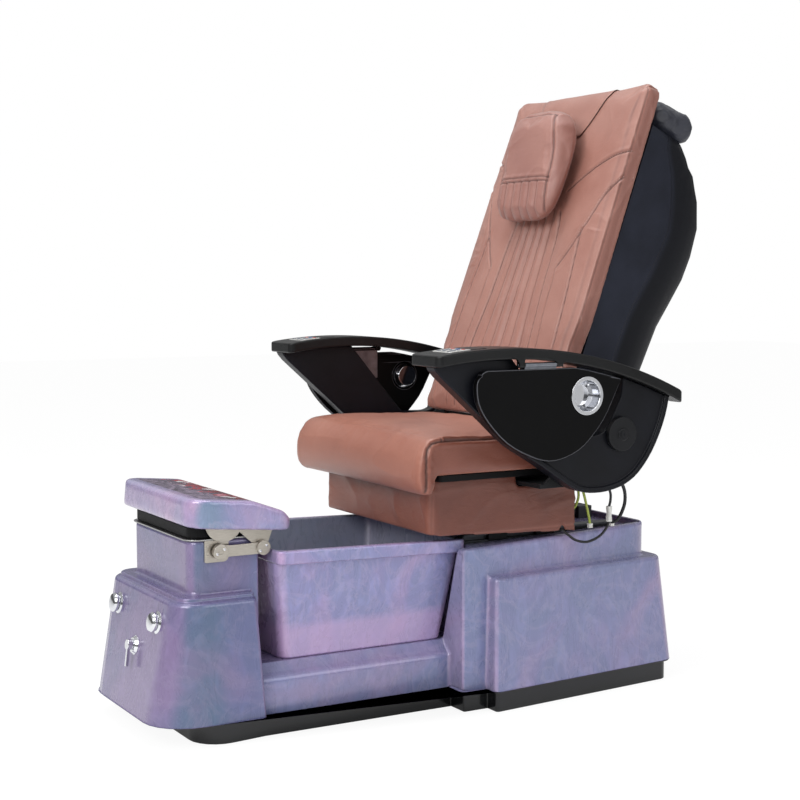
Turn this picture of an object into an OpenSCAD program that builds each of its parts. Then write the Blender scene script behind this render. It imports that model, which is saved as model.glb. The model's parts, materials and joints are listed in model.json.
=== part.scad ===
// Pedicure spa chair: a fibreglass base with a foot tub and a lifting footrest, and a sliding
// massage chair with a reclining back, lift-up arms and flap trays.
// Millimetres. +Z is up, the sitter faces -Y, and the origin is the middle of the footprint on the floor.

/* [Base] */
// Length of the base, front to back
base_len = 1294; // [1250:2:1400]
// Height of the black plinth
plinth_h = 49; // [35:1:60]
// Set-back of the plinth under the sides and rear of the base
plinth_inset = 10; // [6:1:20]
// Set-back of the plinth's front under the console
plinth_front_inset = 94; // [40:1:120]
// Wall of the plinth tray
plinth_wall = 6; // [4:0.5:10]
// Wall of the base moulding
shell_wall = 6; // [4:0.5:8]
// Width of the front console at its foot
console_w = 448; // [430:2:500]
// Length of the front console at its foot
console_len = 236; // [226:1:250]
// Height of the console's ledge above the floor
console_top = 300; // [285:1:310]
// Distance the console's front leans back over its height
console_lean = 47; // [30:1:55]
// Distance each console side leans in over its height
console_draft = 11; // [4:1:16]
// Corner radius of the console at its foot
console_r = 95; // [70:1:110]
// Width of the sill under the tub
sill_w = 412; // [404:1:424]
// Height of the sill's upright face above the floor
sill_top = 123; // [110:1:126]
// Height of the deck that the tub stands on
deck_z = 152; // [148:1:156]

/* [Pedestal] */
// Width of the pedestal under the footrest
pedestal_w = 336; // [320:1:340]
// Height of the pedestal's top above the floor
pedestal_top = 421; // [415:1:424]
// Set-back of the pedestal from the front of the base
pedestal_setback = 91; // [86:1:100]
// Length of the pedestal, front to back
pedestal_len = 154; // [146:1:156]
// Front corner radius of the pedestal
pedestal_r = 30; // [20:1:50]
// Width of the raised step around the pedestal's foot
step_w = 390; // [372:1:400]
// Height of the raised step above the ledge
step_h = 8; // [4:1:12]
// Thickness of the steel top plate
top_plate_t = 3; // [2:0.5:4]
// Overhang of the steel top plate
top_plate_lip = 6; // [3:0.5:8]

/* [Rear housing] */
// Width of the rear housing at its front
housing_w = 522; // [510:2:540]
// Width of the rear housing at its rear
housing_rear_w = 430; // [420:2:452]
// Distance of the rear housing's front from the front of the base
housing_at = 692; // [688:1:700]
// Height of the housing's top at its front
housing_top = 366; // [360:1:368]
// Rise of the housing's top towards the rear
housing_rise = 14; // [6:1:15]
// Length of the housing's upper part
housing_len = 558; // [554:1:566]
// Width across the raised side panels at their front
panel_w = 600; // [580:2:620]
// Width across the raised side panels at their rear
panel_rear_w = 506; // [490:2:512]
// Distance the raised panels lean in over their height
panel_draft = 8; // [3:0.5:12]
// Distance the base's rear end leans in over its height
rear_lean = 24; // [10:1:28]
// Distance of the raised panels' front from the front of the base
panel_at = 754; // [740:1:770]
// Height of the raised panels
panel_top = 300; // [280:1:320]

/* [Tub] */
// Width of the tub at its floor
tub_foot_w = 344; // [330:1:350]
// Width of the tub under its rim
tub_top_w = 416; // [400:1:420]
// Width across the tub's rim
rim_w = 444; // [436:1:450]
// Height of the rim band
rim_h = 29; // [20:1:34]
// Height of the rim's top above the floor, at the front
rim_top = 393; // [389:1:395]
// Slope of the rim towards the rear, in degrees
rim_slope = 1.5; // [1.3:0.1:1.7]
// Distance of the tub's front from the front of the base, at the rim
tub_at = 268; // [266:1:271]
// Length of the tub at its rim
tub_len = 451; // [442:1:453]
// Distance each tub end leans in towards the floor
tub_lean = 26; // [18:1:30]
// Wall of the tub
tub_wall = 6; // [4:0.5:7]
// Corner radius of the tub
tub_r = 24; // [18:1:32]
// Distance of the drain from the front of the base
drain_at = 470; // [440:5:520]
// Bore radius of the drain
drain_bore = 17; // [14:0.5:19]
// Lift of the drain stopper
stopper_lift = 12; // [6:1:18]
// Height of the jet's centre on the tub's rear wall
jet_z = 245; // [235:1:260]
// Outer radius of the jet cover
jet_r = 48; // [40:1:54]
// Radius of the jet motor's neck through the tub's wall
jet_neck_r = 22; // [16:1:26]
// Radius of the jet motor's shaft
jet_shaft_r = 4; // [3:0.5:6]
// Height of the fill spout on the tub's front wall
spout_z = 344; // [335:1:348]
// Radius of the fill spout
spout_r = 11; // [8:0.5:13]

/* [Water controls] */
// Radius of the hot and cold knobs
knob_r = 21; // [16:0.5:26]
// Depth of the knobs
knob_depth = 15; // [12:1:22]
// Distance of each knob from the centre line
knob_x = 114; // [90:1:120]
// Height of the knobs above the floor
knob_z = 250; // [235:1:262]
// Distance of the drain lever from the centre line
lever_x = 15; // [0:1:40]
// Height of the drain lever above the floor
lever_z = 184; // [160:1:200]
// Length of the lever's handle
lever_len = 46; // [34:1:60]
// Radius of the control shafts
shaft_r = 5; // [4:0.5:6]

/* [Footrest] */
// Width of the footrest
foot_w = 424; // [400:2:430]
// Length of the footrest
foot_len = 236; // [228:1:244]
// Thickness of the footrest's flat end
foot_t = 60; // [52:1:68]
// Length of the footrest's flat end
foot_flat = 139; // [125:1:150]
// Slope of the footrest towards the tub, in degrees
foot_slope = 5; // [4:0.5:6]
// Distance of the footrest's front from the front of the base
foot_at = 72; // [68:1:80]
// Height of the footrest's front lower edge
foot_z = 454; // [452:1:458]
// Distance of the lower hinge disc from the front of the base
lower_pin_at = 151; // [147:1:155]
// Distance of the upper hinge disc from the front of the base
upper_pin_at = 248; // [240:1:249]
// Height of the hinge pins
hinge_pin_z = 398; // [396:1:401]
// Radius of the hinge pins
hinge_pin_r = 5; // [4:0.5:6]
// Thickness of the hinge arms
hinge_arm_t = 6; // [4:0.5:8]
// Radius of the hinge discs
hinge_disc_r = 16.5; // [14:0.5:17]

/* [Seat] */
// Width of the seat cushion
seat_w = 594; // [570:2:600]
// Distance of the cushion's front from the front of the base
seat_at = 561; // [555:1:575]
// Length of the seat cushion
seat_len = 386; // [374:1:390]
// Height of the cushion's underside
seat_under = 536; // [535:1:538]
// Thickness of the cushion at its side seam
seat_t = 76; // [68:1:80]
// Crown of the cushion across its width
seat_crown = 11; // [4:1:13]
// Drop of the cushion's front roll below its underside
seat_drop = 43; // [30:1:48]
// Width of the skirt
skirt_w = 504; // [490:2:510]
// Length of the skirt
skirt_len = 386; // [376:1:390]
// Distance of the skirt's front from the front of the base
skirt_at = 616; // [612:1:622]
// Height of the skirt's hem at its front
hem_z = 400; // [398:1:404]
// Fall of the hem towards the rear
hem_fall = 18; // [10:1:19]
// Thickness of the skirt
skirt_t = 10; // [6:1:12]
// Thickness of the board under the cushion
board_t = 15; // [10:1:18]
// Height of the slide rails
rail_h = 20; // [14:1:24]
// Distance of each slide rail from the centre line
rail_x = 185; // [170:1:190]

/* [Backrest] */
// Width of the back cushion
back_w = 548; // [520:2:552]
// Length of the back cushion
back_len = 814; // [780:2:840]
// Length of the back cushion below the height of the arms
back_below = 150; // [145:1:155]
// Lean of the backrest from upright, in degrees
back_angle = 20.3; // [15:0.1:24]
// Thickness of the back cushion at its sides
back_t = 42; // [34:1:48]
// Crown of the back cushion
back_crown = 8; // [2:1:9]
// Depth of the sewn channels in the back cushion
channel_depth = 7; // [3:0.5:9]
// Number of ribs between the sewn channels
rib_count = 6; // [4:2:8]
// Spacing of the sewn channels
rib_pitch = 28; // [20:1:30]
// Greatest depth of the back shell behind the cushion's face
shell_depth = 330; // [310:1:336]
// Width of the back shell at its front edge
shell_w = 524; // [500:2:530]
// Wall of the back shell
back_shell_t = 5; // [3:0.5:6]
// Radius of the recline pins
recline_pin_r = 8; // [6:0.5:10]
// Width of the head pillow
pillow_w = 256; // [230:2:290]
// Height of the head pillow
pillow_h = 280; // [250:2:290]
// Thickness of the head pillow near its top
pillow_t = 98; // [70:1:110]
// Thickness of the head pillow near its foot
pillow_foot_t = 62; // [50:1:68]
// Width of the pillow's flap at the top of the cushion
flap_w = 270; // [200:2:300]

/* [Massage unit] */
// Width of the massage carriage
carriage_w = 236; // [220:2:240]
// Radius of the massage rollers
roller_r = 27; // [20:1:28]
// Thickness of the massage rollers
roller_t = 20; // [14:1:26]
// Spacing of the massage rollers across the back
roller_gap = 110; // [80:2:130]

/* [Arms] */
// Width over both armrests
arms_w = 812; // [806:2:830]
// Width of an armrest at its front
rail_w = 121; // [100:1:122]
// Width of an armrest at its rear end
rail_rear_w = 58; // [40:1:64]
// Thickness of an armrest
rail_t = 24; // [18:1:26]
// Height of an armrest's front tip
rail_tip_z = 800; // [798:1:802]
// Height of an armrest's rear end
rail_end_z = 704; // [702:1:708]
// Radius of an armrest's long curve
rail_curve_r = 1115; // [1080:5:1200]
// Distance of the armrests' tips from the front of the base
rail_at = 541; // [535:1:550]
// Length of an armrest along the base
rail_len = 651; // [640:1:656]
// Thickness of an arm's side body
arm_t = 36; // [24:1:40]
// Set-in of the arm's side body from the armrest's outer edge
arm_inset = 28; // [27:1:34]
// Radius of the arm's pivot shaft
pivot_r = 12; // [9:0.5:14]
// Radius of the pivot's cap
pivot_cap_r = 38; // [30:1:42]
// Thickness of a flap tray
tray_t = 16; // [10:1:17]
// Set-in of the tray's outer face from the armrest's outer edge
tray_inset = 4; // [3:0.5:5]
// Radius of the tray's hinge pin
tray_pin_r = 3; // [2.5:0.5:3.5]
// Radius of the cup holder's mouth
cup_r = 35; // [30:1:38]
// Depth of the cup holder
cup_depth = 30; // [18:1:34]
// Length of the key pad
keypad_len = 96; // [80:1:110]
// Width of the key pad
keypad_w = 74; // [60:1:84]

/* [Clearances] */
// Running clearance of pins and shafts, on the radius
run_gap = 0.06; // [0.03:0.01:0.09]
// Gap between parts that slide or swing past each other
pass_gap = 0.4; // [0.3:0.1:0.8]
// Gap between a tub or arm wall and what stands clear of it
wall_gap = 4; // [3:0.5:5]

/* [Hidden] */
$fn = 64;
hull_fn = 32;
spill = 1;

// Places along the base
base_front = -base_len / 2;
base_rear = base_len / 2;
console_rear = base_front + console_len;
console_top_rear = console_rear - 14;
pedestal_front = base_front + pedestal_setback;
pedestal_rear = pedestal_front + pedestal_len;
housing_front = base_front + housing_at;
housing_rear = housing_front + housing_len;
panel_front = base_front + panel_at;
tub_front = base_front + tub_at;
tub_rear = tub_front + tub_len;
drain_y = base_front + drain_at;
tub_floor = deck_z + tub_wall;
pocket_front = tub_rear + 10;
pocket_rear = housing_rear - 20;
pocket_w = housing_rear_w - 20;
face_angle = atan(console_lean / (console_top - plinth_h - 1));

// Footrest and hinge
foot_y = base_front + foot_at;
lower_pin = [base_front + lower_pin_at, hinge_pin_z];
upper_pin = [base_front + upper_pin_at, hinge_pin_z + 1];
bracket_x = pedestal_w / 2;
bracket_t = 4;
ear_x = bracket_x + bracket_t + 1;
ear_t = 3;
hinge_arm_x = ear_x + ear_t + 1;
disc_x = hinge_arm_x + hinge_arm_t;
disc_t = 5;

// Seat
seat_y = base_front + seat_at;
skirt_y = base_front + skirt_at;
board_z = seat_under - board_t;
rail_top = housing_top + rail_h;
frame_w = 462;
frame_bar = 24;
frame_z = rail_top + 24;
frame_front = skirt_y + skirt_t + 12;
frame_rear = skirt_y + skirt_len - skirt_t - 6;
slide_y = [skirt_y + 180, skirt_y + 310];
slide_block_len = 50;
motor_y = skirt_y + 376;
motor_len = 225;
rod_r = 6;
rod_z = housing_top + 16;

// Backrest: local x across, y into the back, z up along the back
back_y = 314;
back_z = 787;
recline_pin = [320, 571];
recline_local = [
    (recline_pin[0] - back_y) * cos(back_angle) - (recline_pin[1] - back_z) * sin(back_angle),
    (recline_pin[0] - back_y) * sin(back_angle) + (recline_pin[1] - back_z) * cos(back_angle)
];
recline_eye = recline_pin + [10, -94];
recline_rod_r = 8;
back_top = back_len - back_below;
pillow_foot = 302;
pillow_top = pillow_foot + pillow_h;
roller_y = back_t + roller_r + 5;
roller_z = 75;
guide_y = back_t + 58;
guide_x = carriage_w / 2 + 8;

// Arms
arm_out = arms_w / 2;
arm_x1 = arm_out - arm_inset;
arm_x0 = arm_x1 - arm_t;
rail_y0 = base_front + rail_at;
rail_y1 = rail_y0 + rail_len;
rail_chord = norm([rail_len, rail_end_z - rail_tip_z]);
rail_dir = [rail_len, rail_end_z - rail_tip_z] / rail_chord;
rail_centre = [rail_y0, rail_tip_z] + rail_dir * rail_chord / 2
    - [-rail_dir[1], rail_dir[0]] * sqrt(pow(rail_curve_r, 2) - pow(rail_chord / 2, 2));
pivot = [380, 615];
tray_x1 = arm_out - tray_inset;
tray_x0 = tray_x1 - tray_t;
tray_pin = [arm_out - 6, 776];
tray_top = 767;
tray_hinge_y = [92, 190];
lug_len = 16;
cup = [272, 705];
leaf_t = 3;
leaf_h = 74;

// Outline of an arm's side body, front tip first, as [y, z]
arm_edge = [
    [-100, 800], [-96, 768], [-49, 724], [28, 656], [90, 602], [160, 560], [225, 518], [270, 494],
    [312, 488], [352, 491], [392, 502], [430, 526], [468, 572], [498, 632], [514, 690], [520, 760],
    [420, 830], [160, 840], [-60, 835]
];
// Opening in an arm's side body
arm_window = [
    [66, 820, 4], [208, 652, 30], [240, 616, 24], [338, 614, 50], [384, 700, 40], [396, 820, 4]
];
// Outline of a tray below its straight top edge
tray_edge = [
    [-6, 766], [-11, 740], [-7, 700], [17, 659], [65, 612], [124, 581], [173, 568], [218, 574],
    [266, 597], [316, 649], [345, 700]
];
// Side profile of the seat cushion: [distance from its front, height over its underside]
seat_edge = [
    [386, 0, 0.14], [386, 0, 0.86], [378, 0, 1], [250, 0, 1.04], [130, 0, 1.1], [66, 0, 1.08],
    [34, 0, 1], [12, 0, 0.74], [1, 0, 0.34], [0, -0.12, 0], [4, -0.55, 0], [13, -0.9, 0],
    [24, -1, 0], [36, -0.88, 0], [46, -0.5, 0], [60, -0.1, 0], [86, 0, 0], [230, 0, 0],
    [374, 0, 0]
];
// Back shell: [height along the back, share of the full depth]
shell_rise = [
    [-130, 0.80], [-20, 0.83], [90, 0.86], [160, 0.88], [220, 0.93], [290, 0.985], [350, 1],
    [420, 0.985], [480, 0.91], [525, 0.81], [556, 0.69], [574, 0.62]
];
crease_share = 0.55;
crease_in = 15;
shell_back_w = 300;

// Cable routes on the right-hand side of the view from the front, [x, y, z]
seat_cable_route = [
    [236, 316, 404], [243, 317, 388], [250, 320, 385], [259, 328, 376], [266, 345, 363],
    [269, 375, 357], [267, 410, 366], [263, 433, 382], [263, 441, 398]
];
wire_route_a = [
    [240, 355, 511], [240, 359, 511], [247, 368, 496], [253, 376, 466], [250, 388, 432], [245, 398, 406], [243, 402, 394]
];
wire_route_b = [
    [228, 355, 508], [228, 359, 508], [238, 366, 488], [243, 369, 462], [238, 366, 440], [231, 361, 428]
];
wire_route_c = [
    [246, 355, 516], [246, 359, 516], [270, 376, 520], [282, 408, 500], [280, 430, 472], [270, 440, 450], [264, 441, 434]
];
wire_route_d = [
    [250, 355, 520], [250, 359, 520], [284, 392, 526], [294, 436, 508], [290, 462, 478], [280, 474, 446],
    [264, 478, 418], [252, 474, 398], [246, 462, 390]
];
seat_cable_r = 3;
wire_r = 3;
cable_slot = [14, 14];

// --- Outline helpers -------------------------------------------------------------------------

function unit(v) = v / norm(v);
function turn(a) = a > 180 ? a - 360 : a < -180 ? a + 360 : a;

// Arc that rounds corner p between a and b
function corner(a, p, b, r, n) =
    r <= 0 ? [p] :
    let (
        u = unit(a - p),
        v = unit(b - p),
        half = acos(u * v) / 2,
        c = p + unit(u + v) * r / sin(half),
        s = p + u * r / tan(half) - c,
        e = p + v * r / tan(half) - c,
        from = atan2(s[1], s[0]),
        by = turn(atan2(e[1], e[0]) - from)
    )
    [for (i = [0:n]) c + r * [cos(from + by * i / n), sin(from + by * i / n)]];

// Closed outline from corners [x, y, radius]
function rounded(pts, n = 6) = [
    for (i = [0:len(pts) - 1])
        let (k = len(pts), a = pts[(i + k - 1) % k], p = pts[i], b = pts[(i + 1) % k])
        each corner([a[0], a[1]], [p[0], p[1]], [b[0], b[1]], p[2], n)
];

// Both halves of a plan from its right half, front to rear
function both_sides(half) =
    concat(half, [for (i = [len(half) - 1:-1:0]) [-half[i][0], half[i][1], half[i][2]]]);

// Smooth closed curve through points of any dimension
function spline(p, n = 4) = [
    for (i = [0:len(p) - 1], j = [0:n - 1])
        let (
            k = len(p), t = j / n,
            a = p[(i + k - 1) % k], b = p[i], c = p[(i + 1) % k], d = p[(i + 2) % k]
        )
        0.5 * (2 * b + (c - a) * t + (2 * a - 5 * b + 4 * c - d) * t * t
            + (3 * b - a - 3 * c + d) * t * t * t)
];

// Smooth open curve through points
function open_spline(p, n = 3) = concat(
    [for (i = [0:len(p) - 2], j = [0:n - 1])
        let (
            t = j / n,
            a = p[max(i - 1, 0)], b = p[i], c = p[i + 1], d = p[min(i + 2, len(p) - 1)]
        )
        0.5 * (2 * b + (c - a) * t + (2 * a - 5 * b + 4 * c - d) * t * t
            + (3 * b - a - 3 * c + d) * t * t * t)],
    [p[len(p) - 1]]
);

// Closed outline moved inwards by d; side is 1 for a clockwise outline and -1 for the other way
function inset_path(p, d, side = 1) = [
    for (i = [0:len(p) - 1])
        let (k = len(p), t = unit(p[(i + 1) % k] - p[(i + k - 1) % k]))
        p[i] + side * d * [t[1], -t[0]]
];

function mix(a, b, t) = a + (b - a) * t;

// Rounded plan rectangle, x half-width w, from y0 to y1
function plan_rect(w, y0, y1, r0, r1) = rounded(both_sides([[w, y0, r0], [w, y1, r1]]));

module plate_x(x0, x1, pts) {
    // Outline in Y and Z, extruded from x0 to x1
    translate([x0, 0, 0])
        rotate([90, 0, 90])
            linear_extrude(x1 - x0)
                polygon(pts);
}

module plate_z(z0, z1, pts) {
    translate([0, 0, z0])
        linear_extrude(z1 - z0)
            polygon(pts);
}

module rod_x(x0, x1, at, r) {
    translate([x0, at[0], at[1]])
        rotate([0, 90, 0])
            cylinder(r = r, h = x1 - x0);
}

module rod_y(y0, y1, x, z, r) {
    translate([x, y0, z])
        rotate([-90, 0, 0])
            cylinder(r = r, h = y1 - y0);
}

module box(x, y, z) {
    // Block between two values on each axis
    translate([x[0], y[0], z[0]])
        cube([x[1] - x[0], y[1] - y[0], z[1] - z[0]]);
}

module both() {
    children();
    mirror([1, 0, 0])
        children();
}

// Solid through rings of equal length, each end closed by a fan about its own point
module loft(rings, first, last) {
    n = len(rings[0]);
    m = len(rings);
    sides = [
        for (j = [0:m - 2], i = [0:n - 1])
            let (a = j * n + i, b = j * n + (i + 1) % n)
            each [[a, b + n, b], [a, a + n, b + n]]
    ];
    ends = [
        for (i = [0:n - 1])
            let (k = (i + 1) % n)
            each [[m * n, i, k], [m * n + 1, (m - 1) * n + k, (m - 1) * n + i]]
    ];
    polyhedron(concat([for (r = rings) each r], [first, last]), concat(sides, ends));
}

// Round tube along a route, with a fixed side direction for its rings
module tube(route, r, side, sides = 8) {
    path = open_spline(route);
    last = len(path) - 1;
    rings = [
        for (i = [0:last])
            let (
                t = unit(path[min(i + 1, last)] - path[max(i - 1, 0)]),
                u = unit(cross(t, side)),
                v = cross(t, u)
            )
            [for (k = [0:sides - 1]) path[i] + r * (u * cos(360 * k / sides) + v * sin(360 * k / sides))]
    ];
    loft(rings, path[0], path[last]);
}

// --- Base ------------------------------------------------------------------------------------

function foot_plan(inset, front_inset, r) = rounded(both_sides([
    [console_w / 2 - inset, base_front + front_inset, r],
    [sill_w / 2 - inset, console_rear + inset, 0],
    [sill_w / 2 - inset, housing_front + inset, 0],
    [housing_w / 2 - inset, housing_front + inset, 6],
    [housing_w / 2 - inset, panel_front + inset, 0],
    [panel_w / 2 - inset, panel_front + inset, 8],
    [panel_rear_w / 2 - inset, base_rear - inset, 28 - inset / 2]
]));

module plinth() {
    color("#141416")
        difference() {
            union() {
                plate_z(0, plinth_h, foot_plan(plinth_inset, plinth_front_inset, 65));
                // Flange under the moulding's edge
                plate_z(plinth_h - 4, plinth_h, foot_plan(1, 1, console_r));
            }
            plate_z(plinth_wall, plinth_h + spill, foot_plan(plinth_inset + plinth_wall,
                plinth_front_inset + plinth_wall, 60));
        }
}

module console_block(inset, down) {
    hull() {
        plate_z(plinth_h - down, plinth_h - down + 1, plan_rect(console_w / 2 - inset,
            base_front + inset, console_rear - inset, console_r - inset, 6));
        plate_z(console_top - inset - 1, console_top - inset, plan_rect(
            console_w / 2 - console_draft - inset, base_front + console_lean + inset,
            console_top_rear - inset, 62 - inset, 12 - inset));
    }
}

module sill_block(inset, down) {
    half = [
        [sill_w / 2 - inset, plinth_h - down], [sill_w / 2 - inset, sill_top - inset / 2],
        [sill_w / 2 - 16 - inset, sill_top + 12 - inset], [sill_w / 2 - 28 - inset, deck_z - inset]
    ];
    y1 = housing_front + 20;
    translate([0, y1, 0])
        rotate([90, 0, 0])
            linear_extrude(y1 - console_rear + 10 + inset)
                polygon(concat(half, [for (i = [3:-1:0]) [-half[i][0], half[i][1]]]));
}

module housing_block(inset, down) {
    top = [
        [housing_front + inset, plinth_h - down, 0], [housing_rear, plinth_h - down, 0],
        [housing_rear, housing_top + housing_rise - inset, 14], [housing_front + inset, housing_top - inset, 12]
    ];
    half = [
        [housing_w / 2 - inset, housing_front + inset, 6],
        [housing_w / 2 - inset, panel_front, 0],
        [housing_rear_w / 2 - inset, housing_rear - inset, 60 - inset]
    ];
    intersection() {
        plate_z(plinth_h - down, housing_top + housing_rise + spill, rounded(both_sides(half)));
        plate_x(-housing_w, housing_w, rounded(top));
    }
}

module panel_block(inset, down) {
    hull() {
        plate_z(plinth_h - down, plinth_h - down + 1, rounded(both_sides([
            [panel_w / 2 - inset, panel_front + inset, 10],
            [panel_rear_w / 2 - inset, base_rear - inset, 28 - inset / 2]
        ])));
        plate_z(panel_top - inset - 1, panel_top - inset, rounded(both_sides([
            [panel_w / 2 - panel_draft - inset, panel_front + inset + 6, 10],
            [panel_rear_w / 2 - panel_draft - inset, base_rear - rear_lean - inset, 44 - inset / 2]
        ])));
    }
}

module pedestal_block(inset, down) {
    plate_z(plinth_h - down, pedestal_top - inset, plan_rect(pedestal_w / 2 - inset,
        pedestal_front + inset, pedestal_rear - inset, pedestal_r - inset, 6));
}

// Distance of the console's face from the front of the base, and the wall behind it, at a height
function face_y(z, inset) =
    let (z0 = plinth_h + (inset > 0 ? 0 : 1), z1 = console_top - inset)
    inset + (z - z0) * console_lean / (z1 - z0);
function face_wall(z) = (face_y(z, shell_wall) - face_y(z, 0)) * cos(face_angle) + 0.1;

// Places its children on the sloping console face, local z outwards
module on_face(x, z) {
    translate([x, base_front + face_y(z, 0), z])
        rotate([90 - face_angle, 0, 0])
            children();
}

// Tub's rear wall, outside or drawn in: its slope, and where it is at a height
function rear_foot(inset) = [tub_rear - tub_lean - inset, deck_z + inset];
function rear_slope(inset) =
    let (reach = tub_len - inset, foot = rear_foot(inset))
    (tub_front + reach * cos(rim_slope) - foot[0])
        / (rim_top - rim_h - reach * sin(rim_slope) - 1 - foot[1]);
function rear_y(z, inset) = rear_foot(inset)[0] + (z - rear_foot(inset)[1]) * rear_slope(inset);
function jet_seat() = rear_y(jet_z - jet_r, 0) - rear_y(jet_z - jet_r, tub_wall) + 0.1;

// Places its children on the tub's rear wall, local z outwards
module on_tub_rear(z) {
    translate([0, rear_y(z, 0), z])
        rotate([-90 - atan(rear_slope(0)), 0, 0])
            children();
}

module base_shell() {
    color("#8d84ad")
        difference() {
            union() {
                console_block(0, 0);
                plate_z(console_top - spill, console_top + step_h, plan_rect(step_w / 2,
                    pedestal_front - 30, console_top_rear, pedestal_r + 8, 6));
                pedestal_block(0, 0);
                sill_block(0, 0);
                housing_block(0, 0);
                panel_block(0, 0);
            }
            console_block(shell_wall, spill);
            pedestal_block(shell_wall, spill);
            sill_block(shell_wall, spill);
            intersection() {
                housing_block(shell_wall, spill);
                plate_x(-housing_w, housing_w, [
                    [housing_front, 0], [housing_rear, 0], [housing_rear, housing_top - shell_wall],
                    [pocket_front + shell_wall, housing_top - shell_wall],
                    [pocket_front + shell_wall, deck_z - shell_wall], [housing_front, deck_z - shell_wall]
                ]);
            }
            panel_block(shell_wall, spill);
            // Recess that the tub's rear end stands in
            translate([0, pocket_front, 0])
                rotate([90, 0, 0])
                    linear_extrude(pocket_front - housing_front + spill)
                        polygon([
                            [-tub_foot_w / 2 - wall_gap, deck_z], [tub_foot_w / 2 + wall_gap, deck_z],
                            [rim_w / 2 + 2 * wall_gap, rim_top - rim_h - 14],
                            [rim_w / 2 + 3 * wall_gap, housing_top + spill],
                            [-rim_w / 2 - 3 * wall_gap, housing_top + spill],
                            [-rim_w / 2 - 2 * wall_gap, rim_top - rim_h - 14]
                        ]);
            // Flat pocket in the top for the seat slide
            box([-pocket_w / 2, pocket_w / 2], [pocket_front - spill, pocket_rear],
                [housing_top, housing_top + 40]);
            for (x = [-knob_x, knob_x])
                on_face(x, knob_z)
                    translate([0, 0, -20])
                        cylinder(r = 11, h = 40);
            on_face(lever_x, lever_z)
                translate([0, 0, -20])
                    cylinder(r = 11, h = 40);
            translate([0, drain_y, deck_z - 20])
                cylinder(r = drain_bore + 9, h = 40);
            on_tub_rear(jet_z)
                translate([0, 0, -10])
                    cylinder(r = jet_r + 3, h = 60);
            rod_y(pedestal_rear - 20, pedestal_rear + 20, 0, spout_z, spout_r);
        }
}

module base_frame() {
    // Square steel tubes that carry the seat slide down to the floor tray
    bar = 36;
    top = housing_top - shell_wall;
    y0 = pocket_front + 40;
    y1 = pocket_rear - 60;
    color("#3c3f44") {
        for (x = [-rail_x, rail_x])
            for (y = [y0, y1 - bar])
                box([x - bar / 2, x + bar / 2], [y, y + bar], [plinth_wall, top - bar]);
        for (x = [-rail_x, rail_x])
            box([x - bar / 2, x + bar / 2], [y0, y1], [top - bar, top]);
        for (y = [y0, y1 - bar])
            box([-rail_x + bar / 2, rail_x - bar / 2], [y, y + bar], [top - bar, top]);
    }
}

module slide_rails() {
    color("#9a9da3")
        for (x = [-rail_x, rail_x])
            difference() {
                box([x - 15, x + 15], [pocket_front + 3, pocket_front + 418], [housing_top, rail_top]);
                for (s = [-1, 1])
                    box([x + s * 12 - 4, x + s * 12 + 4], [pocket_front, pocket_front + 600],
                        [housing_top + 6, rail_top - 5]);
            }
}

module slide_motor() {
    color("#2b2d31")
        difference() {
            union() {
                rod_y(motor_y, motor_y + motor_len, 0, rod_z, 14);
                box([-26, 26], [motor_y + motor_len - 40, motor_y + motor_len], [housing_top, housing_top + 30]);
                box([-20, 20], [motor_y + 4, motor_y + 30], [housing_top, rod_z]);
            }
            rod_y(motor_y - spill, motor_y + motor_len - 10, 0, rod_z, rod_r + run_gap);
        }
}

module control_box() {
    color("#5b6068") {
        box([-170, -60], [pocket_rear - 96, pocket_rear - 6], [housing_top, housing_top + 28]);
        box([-168, -62], [pocket_rear - 94, pocket_rear - 8], [housing_top + 28, housing_top + 31]);
    }
}

// --- Tub and plumbing ------------------------------------------------------------------------

module tub_body(inset, up) {
    // Tapering tub, drawn in by inset
    foot = [tub_front + tub_lean + inset, tub_rear - tub_lean - inset];
    hull() {
        plate_z(deck_z + up, deck_z + up + 1, plan_rect(tub_foot_w / 2 - inset, foot[0], foot[1],
            tub_r - inset, tub_r - inset));
        translate([0, tub_front, rim_top - rim_h])
            rotate([-rim_slope, 0, 0])
                plate_z(-1, inset > 0 ? rim_h + 2 : 0, plan_rect(tub_top_w / 2 - inset, inset,
                    tub_len - inset, tub_r - inset, tub_r - inset));
    }
}

module tub() {
    color("#8f86b0")
        difference() {
            union() {
                tub_body(0, 0);
                translate([0, tub_front, rim_top - rim_h])
                    rotate([-rim_slope, 0, 0])
                        plate_z(0, rim_h, plan_rect(rim_w / 2, -2, tub_len + 7, tub_r - 6, tub_r - 6));
            }
            tub_body(tub_wall, tub_wall);
            translate([0, drain_y, deck_z - spill])
                cylinder(r = drain_bore + 5, h = tub_wall + 2 * spill);
            on_tub_rear(jet_z)
                translate([0, 0, -30])
                    cylinder(r = jet_neck_r, h = 60);
            rod_y(tub_front - 20, tub_front + 30, 0, spout_z, spout_r);
        }
}

module drain_fitting() {
    // Flange in the tub's floor, threaded tail and lock nut under the deck
    color("#c9ccd1")
        translate([0, drain_y, 0])
            difference() {
                union() {
                    translate([0, 0, tub_floor])
                        cylinder(r = drain_bore + 14, h = 3);
                    translate([0, 0, deck_z - 40])
                        cylinder(r = drain_bore + 5, h = 40 + tub_wall);
                    translate([0, 0, deck_z - 18])
                        cylinder(r = drain_bore + 8.5, h = 17);
                }
                translate([0, 0, deck_z - 50])
                    cylinder(r = drain_bore, h = 80);
            }
}

module drain_stopper() {
    color("#d5d8dd")
        translate([0, drain_y, tub_floor + 3 + pass_gap]) {
            cylinder(r = drain_bore + 7, h = 4);
            translate([0, 0, -14])
                cylinder(r = drain_bore - 1, h = 14);
            translate([0, 0, 4])
                cylinder(r = 6, h = 6);
        }
}

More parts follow.
